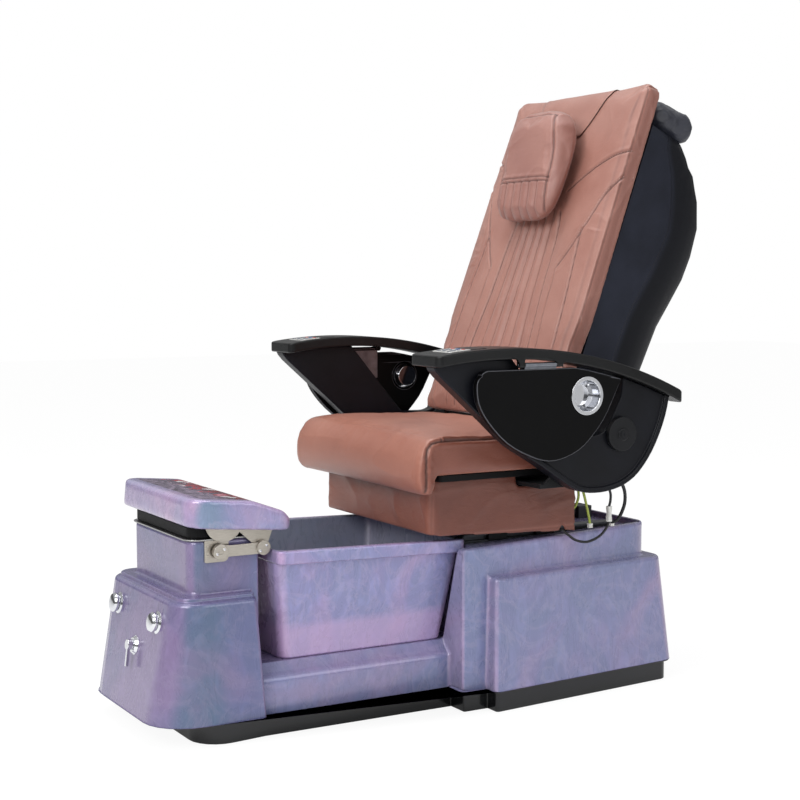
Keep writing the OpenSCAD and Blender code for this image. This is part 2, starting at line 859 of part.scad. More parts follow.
module drain_pipe() {
    // Elbow from the drain to the pump
    bend = 42;
    wall = 3;
    top = deck_z - 40;
    run_z = top - bend;
    r = drain_bore + wall;
    color("#e4e4e0") {
        difference() {
            translate([0, drain_y + bend, top])
                rotate([-90, 0, -90])
                    rotate_extrude(angle = 90)
                        translate([bend, 0])
                            circle(r = r);
            translate([0, drain_y + bend, top])
                rotate([-90, 0, -90])
                    rotate_extrude(angle = 90)
                        translate([bend, 0])
                            circle(r = drain_bore);
        }
        difference() {
            rod_y(drain_y + bend, pump_y() - 46, 0, run_z, r);
            rod_y(drain_y + bend - spill, pump_y() - 46 + spill, 0, run_z, drain_bore);
        }
    }
}

function pump_y() = pocket_front + 130;

module drain_pump() {
    run_z = deck_z - 40 - 42;
    color("#2f3a52") {
        rod_y(pump_y() - 46, pump_y(), 0, run_z, 44);
        rod_y(pump_y(), pump_y() + 110, 0, run_z, 36);
        box([-40, 40], [pump_y() + 10, pump_y() + 100], [plinth_wall, run_z - 30]);
    }
}

module jet_motor() {
    color("#3a3d42")
        on_tub_rear(jet_z) {
            translate([0, 0, 0.1])
                cylinder(r = jet_r - 4, h = 60);
            translate([0, 0, -jet_seat()])
                cylinder(r = jet_neck_r, h = jet_seat() + 1);
            translate([0, 0, -jet_seat() - 12])
                cylinder(r = jet_shaft_r, h = 13);
        }
}

module jet_cover() {
    // Slotted cage over the impeller
    color("#e7e7ea")
        on_tub_rear(jet_z)
            translate([0, 0, -jet_seat() - 22])
                difference() {
                    cylinder(r = jet_r, h = 22);
                    translate([0, 0, 3])
                        cylinder(r = jet_r - 4, h = 22);
                    for (a = [0:45:315])
                        rotate([0, 0, a])
                            translate([16, -3, -spill])
                                cube([jet_r - 26, 6, 6]);
                    translate([0, 0, -spill])
                        cylinder(r = 7, h = 10);
                }
}

module jet_impeller() {
    color("#4b7fb5")
        on_tub_rear(jet_z)
            translate([0, 0, -jet_seat() - 15])
                difference() {
                    union() {
                        cylinder(r = 14, h = 13);
                        for (a = [0:60:300])
                            rotate([0, 0, a])
                                translate([10, -1.5, 0])
                                    cube([jet_r - 18, 3, 11]);
                    }
                    translate([0, 0, 2.6])
                        cylinder(r = jet_shaft_r + run_gap, h = 20);
                }
}

module fill_spout() {
    color("#d5d8dd")
        difference() {
            union() {
                rod_y(pedestal_rear - 30, tub_front + 42, 0, spout_z, spout_r);
                rod_y(tub_front + tub_wall + 7, tub_front + tub_wall + 11, 0, spout_z, spout_r + 7);
            }
            rod_y(pedestal_rear - 31, tub_front + 43, 0, spout_z, spout_r - 3);
        }
}

module valve_body() {
    // Brass cartridges behind the console face, with a water line between them
    color("#b08d4c") {
        for (x = [-knob_x, knob_x])
            on_face(x, knob_z)
                difference() {
                    union() {
                        translate([0, 0, -face_wall(knob_z) - 46])
                            cylinder(r = 17, h = 46);
                        translate([0, 0, -face_wall(knob_z)])
                            cylinder(r = 10.5, h = face_wall(knob_z));
                    }
                    translate([0, 0, -30])
                        cylinder(r = shaft_r + run_gap, h = 40);
                }
        on_face(lever_x, lever_z)
            difference() {
                union() {
                    translate([0, 0, -face_wall(lever_z) - 40])
                        cylinder(r = 15, h = 40);
                    translate([0, 0, -face_wall(lever_z)])
                        cylinder(r = 10.5, h = face_wall(lever_z));
                }
                translate([0, 0, -30])
                    cylinder(r = shaft_r + run_gap, h = 40);
            }
        on_face(0, knob_z)
            translate([-knob_x + 10, 0, -shell_wall - 36])
                rotate([0, 90, 0])
                    cylinder(r = 8, h = 2 * knob_x - 20);
    }
}

module valve_collars() {
    color("#d5d8dd")
        translate([0, -0.05, 0]) {
            for (x = [-knob_x, knob_x])
                on_face(x, knob_z)
                    difference() {
                        cylinder(r1 = knob_r + 3, r2 = knob_r - 2, h = 4);
                        translate([0, 0, -spill])
                            cylinder(r = shaft_r + run_gap, h = 6);
                    }
            on_face(lever_x, lever_z)
                difference() {
                    cylinder(r1 = 21, r2 = 16, h = 6);
                    translate([0, 0, -spill])
                        cylinder(r = shaft_r + run_gap, h = 8);
                }
        }
}

module knob(x) {
    // Domed knob on its shaft
    on_face(x, knob_z) {
        translate([0, 0, 4 + pass_gap])
            rotate_extrude()
                polygon([
                    [0, 0], [knob_r - 3, 0], [knob_r, 3], [knob_r, knob_depth * 0.5],
                    [knob_r - 3, knob_depth * 0.8], [knob_r - 9, knob_depth * 0.94], [0, knob_depth]
                ]);
        translate([0, 0, -24])
            cylinder(r = shaft_r, h = 30);
    }
}

module hot_knob() {
    color("#dde0e4")
        knob(-knob_x);
}

module cold_knob() {
    color("#dde0e4")
        knob(knob_x);
}

module drain_lever() {
    // Hub with a handle that hangs down
    color("#dde0e4")
        on_face(lever_x, lever_z) {
            translate([0, 0, 6 + pass_gap])
                cylinder(r = 11, h = 12);
            translate([0, 0, -24])
                cylinder(r = shaft_r, h = 34);
            translate([0, 0, 11])
                rotate([0, 0, -80])
                    box([0, lever_len], [-4, 4], [0, 6]);
        }
}

// --- Footrest --------------------------------------------------------------------------------

module pedestal_plate() {
    color("#c4c7cc")
        plate_z(pedestal_top, pedestal_top + top_plate_t, plan_rect(pedestal_w / 2 + top_plate_lip - 3,
            pedestal_front - top_plate_lip, pedestal_rear - 2, pedestal_r + 4, 6));
}

module rest_pad() {
    // Rubber block that the footrest lies on, its top to the footrest's slope
    y0 = pedestal_front;
    y1 = upper_pin[0] - 36;
    z0 = pedestal_top + top_plate_t;
    color("#17181a")
        intersection() {
            plate_x(-pedestal_w / 2, pedestal_w / 2, [
                [y0, z0], [y1, z0], [y1, foot_under(y1) - pass_gap], [y0, foot_under(y0) - pass_gap]
            ]);
            plate_z(z0 - spill, foot_z, plan_rect(pedestal_w / 2 - 3, y0 + 2, y1, pedestal_r - 3, 4));
        }
}

function foot_under(y) = foot_z - (y - foot_y) * tan(foot_slope);

module in_footrest() {
    translate([0, foot_y, foot_z])
        rotate([-foot_slope, 0, 0])
            children();
}

module footrest() {
    // Flat end, sloping top and a rounded nose over the tub
    side = [
        [0, 0, 8], [0, foot_t, 12], [foot_flat, foot_t, 30], [foot_len - 26, foot_t * 0.68, 24],
        [foot_len, foot_t * 0.36, 16], [foot_len - 4, 0, 6]
    ];
    color("#9a90bb")
        in_footrest()
            intersection() {
                plate_x(-foot_w / 2, foot_w / 2, rounded(side));
                plate_z(-spill, foot_t + spill, plan_rect(foot_w / 2, 0, foot_len, 50, 32));
            }
}

module footrest_plates() {
    // Side plates under the footrest: an ear on the upper pin and a half-round lobe in front
    ear_top = foot_under(upper_pin[0]);
    lobe = 42;
    lobe_y = lower_pin[0] + 12;
    color("#b9b6ae")
        both()
            difference() {
                union() {
                    rod_x(ear_x, ear_x + ear_t, upper_pin, hinge_disc_r - 5);
                    plate_x(ear_x, ear_x + ear_t, [
                        [upper_pin[0] - hinge_disc_r + 5, upper_pin[1]],
                        [upper_pin[0] + hinge_disc_r - 5, upper_pin[1]],
                        [upper_pin[0] + 26, foot_under(upper_pin[0] + 26)],
                        [upper_pin[0] - 60, foot_under(upper_pin[0] - 60)]
                    ]);
                    intersection() {
                        rod_x(ear_x, ear_x + ear_t, [lobe_y, foot_under(lobe_y) + 12], lobe);
                        plate_x(ear_x - spill, ear_x + ear_t + spill, [
                            [lobe_y - lobe, foot_under(lobe_y) - 60],
                            [lobe_y + lobe, foot_under(lobe_y) - 60],
                            [lobe_y + lobe, foot_under(lobe_y + lobe)],
                            [lobe_y - lobe, foot_under(lobe_y - lobe)]
                        ]);
                    }
                }
                rod_x(ear_x - spill, ear_x + ear_t + spill, upper_pin, hinge_pin_r + run_gap);
            }
}

module hinge_brackets() {
    color("#b9b6ae")
        both() {
            plate_x(bracket_x, bracket_x + bracket_t, rounded([
                [lower_pin[0] - 30, pedestal_top - 46, 4], [lower_pin[0] - 30, pedestal_top, 3],
                [lower_pin[0] + 24, pedestal_top, 3], [lower_pin[0] + 24, pedestal_top - 46, 12]
            ]));
            rod_x(bracket_x + bracket_t, disc_x + disc_t - 1, lower_pin, hinge_pin_r);
            // Rivets
            for (z = [pedestal_top - 12, pedestal_top - 34])
                rod_x(bracket_x + bracket_t, bracket_x + bracket_t + 1, [lower_pin[0] - 23, z], 3.5);
        }
}

module hinge_arms() {
    // Lifting arms with a disc at each end and the upper pins
    color("#b9b6ae")
        both()
            difference() {
                union() {
                    rod_x(hinge_arm_x, disc_x, lower_pin, hinge_disc_r);
                    rod_x(disc_x, disc_x + disc_t, lower_pin, hinge_disc_r);
                    rod_x(hinge_arm_x, disc_x + disc_t, upper_pin, hinge_disc_r - 1);
                    plate_x(hinge_arm_x, disc_x, [
                        [lower_pin[0], lower_pin[1] - 12], [upper_pin[0], upper_pin[1] - 13],
                        [upper_pin[0], upper_pin[1] + 11], [lower_pin[0], lower_pin[1] + 12]
                    ]);
                    rod_x(ear_x, hinge_arm_x, upper_pin, hinge_pin_r);
                }
                rod_x(hinge_arm_x - spill, disc_x + disc_t + spill, lower_pin, hinge_pin_r + run_gap);
            }
}

// --- Seat ------------------------------------------------------------------------------------

module seat_frame() {
    // Side plates, cross bars, feet for the slide blocks and ears for the recline pins
    half = frame_w / 2;
    ear_x0 = half - 8;
    color("#33363b") {
        both() {
            box([half - 6, half], [frame_front, frame_rear], [frame_z, board_z]);
            box([rail_x - 18, half - 6], [frame_front, frame_rear], [frame_z, frame_z + 4]);
            plate_x(ear_x0, ear_x0 + 8, [
                [frame_rear - 60, board_z - 40], [frame_rear, board_z - 40],
                [recline_pin[0] + 18, recline_pin[1] - 6], [recline_pin[0] + 14, recline_pin[1] + 14],
                [recline_pin[0] - 14, recline_pin[1] + 14], [frame_rear - 40, board_z]
            ]);
            rod_x(ear_x0 + 8, ear_x0 + 22, recline_pin, recline_pin_r);
        }
        for (y = [frame_front, frame_rear - 90])
            box([6 - half, half - 6], [y, y + frame_bar], [board_z - frame_bar, board_z]);
        // Lug that holds the slide rod
        box([-14, 14], [frame_front + 152, frame_front + 168], [rod_z - 10, board_z]);
        box([-half + 6, half - 6], [frame_front + 152, frame_front + 176], [board_z - 8, board_z]);
    }
}

module slide_blocks() {
    // Blocks that grip the rails
    color("#7d8188")
        for (x = [-rail_x, rail_x])
            for (y = slide_y)
                difference() {
                    box([x - 20, x + 20], [y, y + slide_block_len], [housing_top + 4, frame_z]);
                    for (g = [[15, rail_top - 5, rail_top], [8, housing_top, rail_top - 1], [15, housing_top, housing_top + 6]])
                        box([x - g[0] - pass_gap, x + g[0] + pass_gap],
                            [y - spill, y + slide_block_len + spill], [g[1] - pass_gap, g[2] + pass_gap]);
                }
}

module slide_rod() {
    color("#c9ccd1")
        rod_y(frame_front + 168, motor_y + 70, 0, rod_z, rod_r);
}

module seat_board() {
    color("#1b1c1e")
        plate_z(board_z, seat_under, plan_rect(seat_w / 2 - 18, skirt_y + 4, seat_y + seat_len - 26, 10, 10));
}

module seat_cushion() {
    // Cushion with a front roll, a crown across its width and drawn-in side seams
    drawn = spline([
        for (p = seat_edge) [seat_y + p[0] * seat_len / 386, seat_under + seat_drop * p[1] + seat_t * p[2]]
    ], 2);
    // Flat where it lies on the board and at the rear
    edge = [
        for (p = drawn) [min(p[0], seat_y + seat_len - 3), p[0] > skirt_y - 14 ? max(p[1], seat_under) : p[1]]
    ];
    core = [seat_y + 52, seat_under + 26];
    stations = [-1, -0.985, -0.95, -0.85, -0.7, -0.5, -0.25, 0, 0.25, 0.5, 0.7, 0.85, 0.95, 0.985, 1];
    rings = [
        for (u = stations)
            let (
                draw = abs(u) > 0.99 ? 7 : abs(u) > 0.97 ? 1.5 : 0,
                crown = seat_crown * (1 - u * u)
            )
            [for (p = inset_path(edge, draw, -1))
                [u * seat_w / 2, p[0], p[1] + (p[1] > seat_under + 20 ? crown : 0)]]
    ];
    color("#a4624a")
        loft(rings, [-seat_w / 2, core[0], core[1]], [seat_w / 2, core[0], core[1]]);
}

module seat_skirt() {
    // Upholstered box round the slide, open below, its hem falling to the rear
    z1 = board_z;
    y1 = skirt_y + skirt_len;
    hem_rear = hem_z - hem_fall;
    color("#96553f")
        difference() {
            plate_x(-skirt_w / 2, skirt_w / 2, [[skirt_y, hem_z], [y1, hem_rear], [y1, z1], [skirt_y, z1]]);
            box([-skirt_w / 2 + skirt_t, skirt_w / 2 - skirt_t], [skirt_y + skirt_t, y1 - skirt_t],
                [hem_rear - spill, z1 + spill]);
            // The rear wall stops above the rails and the motor
            box([-skirt_w / 2 + skirt_t, skirt_w / 2 - skirt_t], [y1 - 2 * skirt_t, y1 + spill],
                [hem_rear - spill, rail_top + 16]);
            // Slot for the cable that comes out under the hem
            box([skirt_w / 2 - skirt_t - spill, skirt_w / 2 + spill],
                [320 - cable_slot[0] / 2, 320 + cable_slot[0] / 2], [hem_rear - spill, hem_rear + cable_slot[1]]);
            // Slots for the arm brackets
            for (s = [-1, 1])
                box([s > 0 ? 200 : -300, s > 0 ? 300 : -200], [bracket_y()[0] - 3, bracket_y()[1] + 3],
                    [z1 - 26, z1 + spill]);
        }
}

function bracket_y() = [pivot[0] - 186, pivot[0] - 94];

module arm_brackets() {
    // Steel arms from the seat frame out to the pivots
    x0 = frame_w / 2;
    x1 = arm_x0 - wall_gap;
    color("#202225")
        both()
            difference() {
                union() {
                    box([x0, x1], bracket_y(), [board_z - 22, board_z - 12]);
                    plate_x(x1 - 8, x1, [
                        [bracket_y()[0], board_z - 22], [bracket_y()[1], board_z - 22],
                        [pivot[0] + 30, pivot[1] - 10], [pivot[0] + 22, pivot[1] + 24],
                        [pivot[0] - 20, pivot[1] + 24]
                    ]);
                }
                rod_x(x1 - 20, x1 + spill, pivot, pivot_r);
            }
}

module recline_motor() {
    // Actuator tube under the seat
    color("#2b2d31")
        difference() {
            union() {
                rod_y(frame_front + 60, recline_eye[0] - 64, -70, recline_eye[1], 16);
                box([-92, -48], [frame_front + 40, frame_front + 100],
                    [recline_eye[1] - 24, recline_eye[1] + 24]);
                box([-80, -60], [frame_front + frame_bar, frame_front + 44],
                    [recline_eye[1] - 12, board_z]);
            }
            rod_y(frame_front + 104, recline_eye[0], -70, recline_eye[1], recline_rod_r + run_gap);
        }
}

module recline_rod() {
    // Rod whose slotted eye drives the lever below the recline pins
    color("#c9ccd1")
        difference() {
            union() {
                rod_y(frame_front + 166, recline_eye[0] - 10, -70, recline_eye[1], recline_rod_r);
                box([-76, -64], [recline_eye[0] - 12, recline_eye[0] + 12],
                    [recline_eye[1] - 11, recline_eye[1] + 17]);
            }
            rod_x(-80, -60, recline_eye - [0, 1.5], 6.8);
            rod_x(-80, -60, recline_eye + [0, 7], 6.8);
            box([-80, -60], [recline_eye[0] - 6.8, recline_eye[0] + 6.8],
                [recline_eye[1] - 1.5, recline_eye[1] + 7]);
        }
}

// --- Cables ----------------------------------------------------------------------------------

module seat_cable() {
    color("#101113")
        tube(seat_cable_route, seat_cable_r, [1, 0, 0]);
}

module arm_cables() {
    color("#101113") {
        tube(wire_route_a, wire_r, [1, 0, 0]);
        tube(wire_route_b, wire_r, [1, 0, 0]);
        tube(wire_route_c, wire_r, [0, 0.3, 1]);
        tube(wire_route_d, wire_r + 1, [0, 0.3, 1]);
    }
}

module cable_plugs() {
    // Connectors on the cables' free ends
    color("#e6e6e2") {
        translate([263.5, 441, 398])
            cylinder(r = 6, h = 36);
        translate([243, 402, 384])
            cylinder(r = 6, h = 10);
        translate([246, 462, 384])
            cylinder(r = 6, h = 6);
    }
}

// --- Backrest --------------------------------------------------------------------------------

module in_back() {
    translate([0, back_y, back_z])
        rotate([-back_angle, 0, 0])
            children();
}

module back_frame() {
    // Uprights, cross bars, guide channels for the carriage and the drive lever
    post_x = frame_w / 2 + 2;
    y0 = back_t + 6;
    y1 = y0 + 30;
    z0 = recline_local[1] + 14;
    z1 = 560;
    color("#33363b")
        in_back() {
            both() {
                difference() {
                    union() {
                        box([post_x - 14, post_x + 10], [y0, y1], [z0 + 20, z1]);
                        plate_x(post_x + 2, post_x + 10, [
                            [y0, z0 + 60], [y0, z0 + 10], [recline_local[0] - 18, recline_local[1]],
                            [recline_local[0], recline_local[1] - 18],
                            [recline_local[0] + 18, recline_local[1]], [y1 + 16, z0 + 20], [y1, z0 + 60]
                        ]);
                    }
                    rod_x(post_x - 20, post_x + 20, recline_local, recline_pin_r + run_gap);
                }
                difference() {
                    box([guide_x - 10, guide_x + 8], [guide_y, guide_y + 32], [-60, z1]);
                    box([guide_x - 10 - spill, guide_x + 2], [guide_y + 6, guide_y + 26],
                        [-60 - spill, z1 + spill]);
                }
            }
            for (z = [-90, z1 - 24])
                box([-post_x + 14, post_x - 14], [y0, y1], [z, z + 24]);
            for (z = [-60, z1 - 24])
                both()
                    box([guide_x - 4, guide_x + 8], [y1 - spill, guide_y], [z - (z < 0 ? 30 : 0), z + 24]);
        }
    // Lever and pin that the recline rod pulls
    color("#33363b") {
        rod_x(-78, -60, recline_eye, 6);
        rod_x(-62, -54, recline_eye, 12);
        plate_x(-62, -54, [
            recline_eye - [12, 0], recline_eye + [10, 0], recline_eye + [16, 105],
            recline_eye + [26, 210], recline_eye + [2, 210], recline_eye + [-8, 105]
        ]);
    }
}

function shell_section(z, share, inset) =
    let (
        d = shell_depth * share - inset,
        w = shell_w / 2 - inset,
        crease = [w - crease_in, d * crease_share],
        rx = crease[0] - shell_back_w / 2,
        y0 = back_t + 4,
        half = concat(
            [[w, y0 - (inset > 0 ? spill : 0)]],
            [for (a = [0:15:90]) [crease[0] - rx + rx * cos(a), crease[1] + (d - crease[1]) * sin(a)]]
        )
    )
    concat([for (p = half) [p[0], p[1], z]], [for (i = [len(half) - 1:-1:0]) [-half[i][0], half[i][1], z]]);

module shell_loft(inset, down, up) {
    last = len(shell_rise) - 1;
    grow = (back_top - 90) / shell_rise[last][0];
    rise = [
        for (i = [0:last]) shell_rise[i][0] * grow + (i == 0 ? -down : i == last ? -up : 0)
    ];
    rings = [for (i = [0:last]) shell_section(rise[i], shell_rise[i][1], inset)];
    loft(rings, [0, 100, rise[0]], [0, 100, rise[last]]);
}

module back_shell() {
    color("#2c303c")
        in_back()
            difference() {
                shell_loft(0, 0, 0);
                shell_loft(back_shell_t, spill, back_shell_t);
            }
}

module back_roll() {
    // Padded roll along the top of the shell
    color("#23262f")
        in_back()
            hull()
                for (x = [-shell_w / 2 + 40, shell_w / 2 - 40])
                    for (y = [back_t + 36, 150])
                        translate([x, y, back_top - 52])
                            sphere(r = 34, $fn = 24);
}

function pad_x() = concat(
    [-1, -0.985, -0.93, -0.8, -0.6, -0.45],
    [for (i = [0:2 * rib_count]) (i - rib_count) * rib_pitch / back_w],
    [0.45, 0.6, 0.8, 0.93, 0.985, 1]
);
function pad_z() = [0, 0.012, 0.05, 0.12, 0.2, 0.28, 0.36, 0.44, 0.52, 0.575, 0.62, 0.7, 0.78, 0.86, 0.93, 0.975, 1];

// Depth of the back cushion's face at the fractions u across and v up
function pad_face(u, v) =
    let (
        side = 1 - pow(abs(u), 6),
        ends = 1 - pow(abs(2 * v - 1), 10),
        x = u * back_w / 2,
        ribbed = v < 0.58 && abs(x) <= rib_pitch * rib_count / 2 + 0.1,
        line = abs(x / rib_pitch - round(x / rib_pitch)) < 0.1
    )
    -back_crown * side * ends + (ribbed && line ? channel_depth * ends : 0)
        + (abs(u) > 0.99 ? 7 : 0) + (abs(2 * v - 1) > 0.99 ? 7 : 0);

module backrest_pad() {
    xs = pad_x();
    zs = pad_z();
    nx = len(xs);
    nz = len(zs);
    face = [for (v = zs, u = xs) [u * back_w / 2, pad_face(u, v), -back_below + v * back_len]];
    rear = [for (p = face) [p[0] * 0.985, back_t, mix(back_len / 2 - back_below, p[2], 0.99)]];
    edge = concat(
        [for (i = [0:nx - 1]) i],
        [for (j = [1:nz - 1]) j * nx + nx - 1],
        [for (i = [nx - 2:-1:0]) (nz - 1) * nx + i],
        [for (j = [nz - 2:-1:1]) j * nx]
    );
    ne = len(edge);
    rim = [for (e = edge) rear[e]];
    grid = [
        for (j = [0:nz - 2], i = [0:nx - 2])
            let (a = j * nx + i)
            each [[a, a + nx, a + nx + 1], [a, a + nx + 1, a + 1]]
    ];
    sides = [
        for (k = [0:ne - 1])
            let (m = (k + 1) % ne, a = nx * nz + k, b = nx * nz + m)
            each [[edge[k], edge[m], b], [edge[k], b, a]]
    ];
    back = [for (k = [0:ne - 1]) [nx * nz + k, nx * nz + (k + 1) % ne, nx * nz + ne]];
    color("#ad6a50")
        in_back()
            polyhedron(
                concat(face, rim, [[0, back_t, back_len / 2 - back_below]]),
                concat(grid, sides, back)
            );
}

module head_pillow() {
    // Plump pillow with rounded corners
    n = 28;
    layers = [[0, 0.82], [0.1, 0.93], [0.3, 0.99], [0.5, 1], [0.7, 0.97], [0.86, 0.91], [0.96, 0.83], [1, 0.7]];
    mid = [0, 0, (pillow_foot + pillow_top) / 2];
    face = -back_crown - 2.5;
    rings = [
        for (l = layers)
            [for (i = [0:n - 1])
                let (
                    a = 360 * i / n,
                    c = cos(a), s = sin(a),
                    k = 1 / pow(pow(abs(c), 4) + pow(abs(s), 4), 0.25)
                )
                mid + [
                    l[1] * k * c * pillow_w / 2 * (1 - 0.07 * pow(max(0, s), 2)),
                    face - l[0] * mix(pillow_foot_t, pillow_t, (1 + k * s) / 2),
                    l[1] * k * s * pillow_h / 2
                ]]
    ];
    color("#a05f49")
        in_back()
            loft(rings, mid + [0, face, 0], mid + [0, face - (pillow_t + pillow_foot_t) / 2 - 2, 0]);
}

module pillow_flap() {
    // Leather flap that widens from the pillow's back over the top of the cushion
    t = 2;
    rows = [
        for (v = [0.84, 0.89, 0.93, 0.975, 0.995])
            [pad_face(0, v) - 0.5 - (v > 0.99 ? 3 : 0), v * back_len - back_below, 0]
    ];
    path = concat(rows, [[9, back_top + 0.8, 70], [back_t - 4, back_top + 0.8, 90]]);
    rings = [
        for (i = [0:len(path) - 1])
            let (
                p = path[i],
                w = mix(0.36, 0.5, min(1, i / (len(rows) - 1))) * flap_w,
                q = [p[0] - t * cos(p[2]), p[1] + t * sin(p[2])]
            )
            [[-w, p[0], p[1]], [-w, q[0], q[1]], [w, q[0], q[1]], [w, p[0], p[1]]]
    ];
    a = path[0];
    b = path[len(path) - 1];
    color("#8f503c")
        in_back()
            loft(rings, [0, a[0] - t / 2, a[1]], [0, b[0], b[1] + t / 2]);
}

module massage_carriage() {
    // Carriage that runs in the channels, with two roller arms and their axle stubs
    color("#4b4f57")
        in_back() {
            box([-carriage_w / 2 + 6, carriage_w / 2 - 6], [guide_y + 4, guide_y + 72], [20, 140]);
            both() {
                box([carriage_w / 2 - 8, guide_x + 2 - pass_gap],
                    [guide_y + 6 + pass_gap, guide_y + 26 - pass_gap], [30, 130]);
                box([roller_gap / 2 - 25, roller_gap / 2 - 11], [roller_y - 8, guide_y + 5],
                    [roller_z - 14, roller_z + 14]);
                rod_x(roller_gap / 2 - 14, roller_gap / 2 - 9 + roller_t, [roller_y, roller_z], 5);
            }
        }
}

module massage_rollers() {
    color("#2c2f36")
        in_back()
            both()
                difference() {
                    rod_x(roller_gap / 2 - 10, roller_gap / 2 - 10 + roller_t, [roller_y, roller_z], roller_r);
                    rod_x(roller_gap / 2 - 11, roller_gap / 2 - 9 + roller_t, [roller_y, roller_z],
                        5 + run_gap);
                }
}

// --- Arms, drawn on the +X side --------------------------------------------------------------

module rail_disc(grow, x0, x1) {
    translate([x0, rail_centre[0], rail_centre[1]])
        rotate([0, 90, 0])
            cylinder(r = rail_curve_r + grow, h = x1 - x0, $fn = 256);
}

module arm_body() {
    edge = spline(arm_edge, 3);
    rim_w0 = 12;
    intersection() {
        difference() {
            union() {
                plate_x(arm_x0, arm_x1, edge);
                // Raised rim round the lower and rear edge
                intersection() {
                    difference() {
                        plate_x(arm_x1 - spill, arm_x1 + 7, edge);
                        plate_x(arm_x1 - 2, arm_x1 + 8, inset_path(edge, rim_w0, -1));
                    }
                    box([arm_x0, arm_out], [120, 600], [400, 740]);
                }
            }
            plate_x(arm_x0 - spill, arm_x1 + 10, rounded(arm_window));
            rod_x(arm_x0 - spill, arm_x1 + spill, pivot, pivot_r + run_gap);
        }
        rail_disc(-rail_t, arm_x0 - 2, arm_out);
    }
}

module rail_plan(z0, z1) {
    inner = arm_out - rail_w;
    inner_rear = arm_out - 6 - rail_rear_w;
    plate_z(z0, z1, rounded([
        [inner, rail_y0, 14], [arm_out, rail_y0, 18], [arm_out, rail_y0 + 420, 200],
        [arm_out - 6, rail_y1, 16], [inner_rear, rail_y1, 16], [inner + 30, rail_y0 + 330, 120]
    ]));
}

module keypad_zone(low, high) {
    x0 = arm_out - rail_w + 22;
    intersection() {
        difference() {
            rail_disc(high, arm_out - rail_w, arm_out);
            rail_disc(low, arm_out - rail_w - 1, arm_out + 1);
        }
        plate_z(600, 900, rounded([
            [x0, rail_y0 + 40, 10], [x0 + keypad_w, rail_y0 + 40, 10],
            [x0 + keypad_w, rail_y0 + 40 + keypad_len, 10], [x0, rail_y0 + 40 + keypad_len, 10]
        ]));
    }
}

module arm_rail() {
    // Curved armrest with the lugs of the tray hinge
    difference() {
        union() {
            intersection() {
                difference() {
                    rail_disc(0, arm_out - rail_w - 2, arm_out);
                    rail_disc(-rail_t, arm_out - rail_w - 4, arm_out + 2);
                }
                rail_plan(600, 900);
            }
            for (y = tray_hinge_y)
                intersection() {
                    union() {
                        rod_y(y, y + lug_len, tray_pin[0], tray_pin[1], 6);
                        box([tray_pin[0] - 6, tray_pin[0] + 6], [y, y + lug_len],
                            [tray_pin[1], tray_pin[1] + 14]);
                    }
                    rail_disc(-rail_t / 2, arm_out - rail_w, arm_out);
                }
        }
        keypad_zone(-3, 60);
        for (y = tray_hinge_y)
            rod_y(y - spill, y + lug_len + spill, tray_pin[0], tray_pin[1], tray_pin_r + run_gap);
    }
}

module keypad() {
    keypad_zone(-3, 1);
}

module pivot_bolt() {
    // Shaft, cap and bolt head of the arm's pivot
    rod_x(arm_x0 - wall_gap - 8, arm_x1 + pass_gap, pivot, pivot_r);
    rod_x(arm_x1 + pass_gap, arm_x1 + 12, pivot, pivot_cap_r);
    rod_x(arm_x1 + 12, arm_x1 + 16, pivot, pivot_r + 2);
}

module tray() {
    // Flap with a straight top edge and a hole for the cup holder
    edge = open_spline(tray_edge, 3);
    outline = concat([[366, tray_top - 22], [352, tray_top - 8], [330, tray_top], [4, tray_top]], edge);
    difference() {
        intersection() {
            plate_x(tray_x0, tray_x1, outline);
            rail_disc(-rail_t - 8, arm_x0, arm_out);
        }
        rod_x(tray_x0 - spill, tray_x1 + spill, cup, cup_r + 1);
    }
}

module cup_holder() {
    // Dished steel cup with a flange
    translate([tray_x1, cup[0], cup[1]])
        rotate([0, 90, 0])
            rotate_extrude()
                polygon([
                    [0, -cup_depth], [cup_r * 0.72, -cup_depth], [cup_r * 0.92, -cup_depth * 0.7],
                    [cup_r + 1, -3], [cup_r + 1, 0], [cup_r + 7, 0], [cup_r + 7, 2], [cup_r - 1, 2],
                    [cup_r - 2, -2], [cup_r * 0.84, -cup_depth * 0.64], [cup_r * 0.66, -cup_depth + 2],
                    [0, -cup_depth + 2]
                ]);
}

module tray_hinge() {
    // Pin, knuckle and leaf on the tray's inner face
    y0 = tray_hinge_y[0] + lug_len + pass_gap;
    y1 = tray_hinge_y[1] - pass_gap;
    rod_y(tray_hinge_y[0], tray_hinge_y[1] + lug_len, tray_pin[0], tray_pin[1], tray_pin_r);
    rod_y(y0, y1, tray_pin[0], tray_pin[1], 5.2);
    plate_y_leaf(y0, y1);
}

module plate_y_leaf(y0, y1) {
    // Leaf in section: from the knuckle over the tray's top edge and down its inner face
    x0 = tray_x0 - leaf_t;
    translate([0, y1, 0])
        rotate([90, 0, 0])
            linear_extrude(y1 - y0)
                polygon([
                    [x0, tray_pin[1] - 3], [x0, tray_pin[1] - leaf_h], [tray_x0, tray_pin[1] - leaf_h],
                    [tray_x0, tray_top], [tray_pin[0] + 2, tray_top], [tray_pin[0] + 2, tray_pin[1] - 3]
                ]);
}

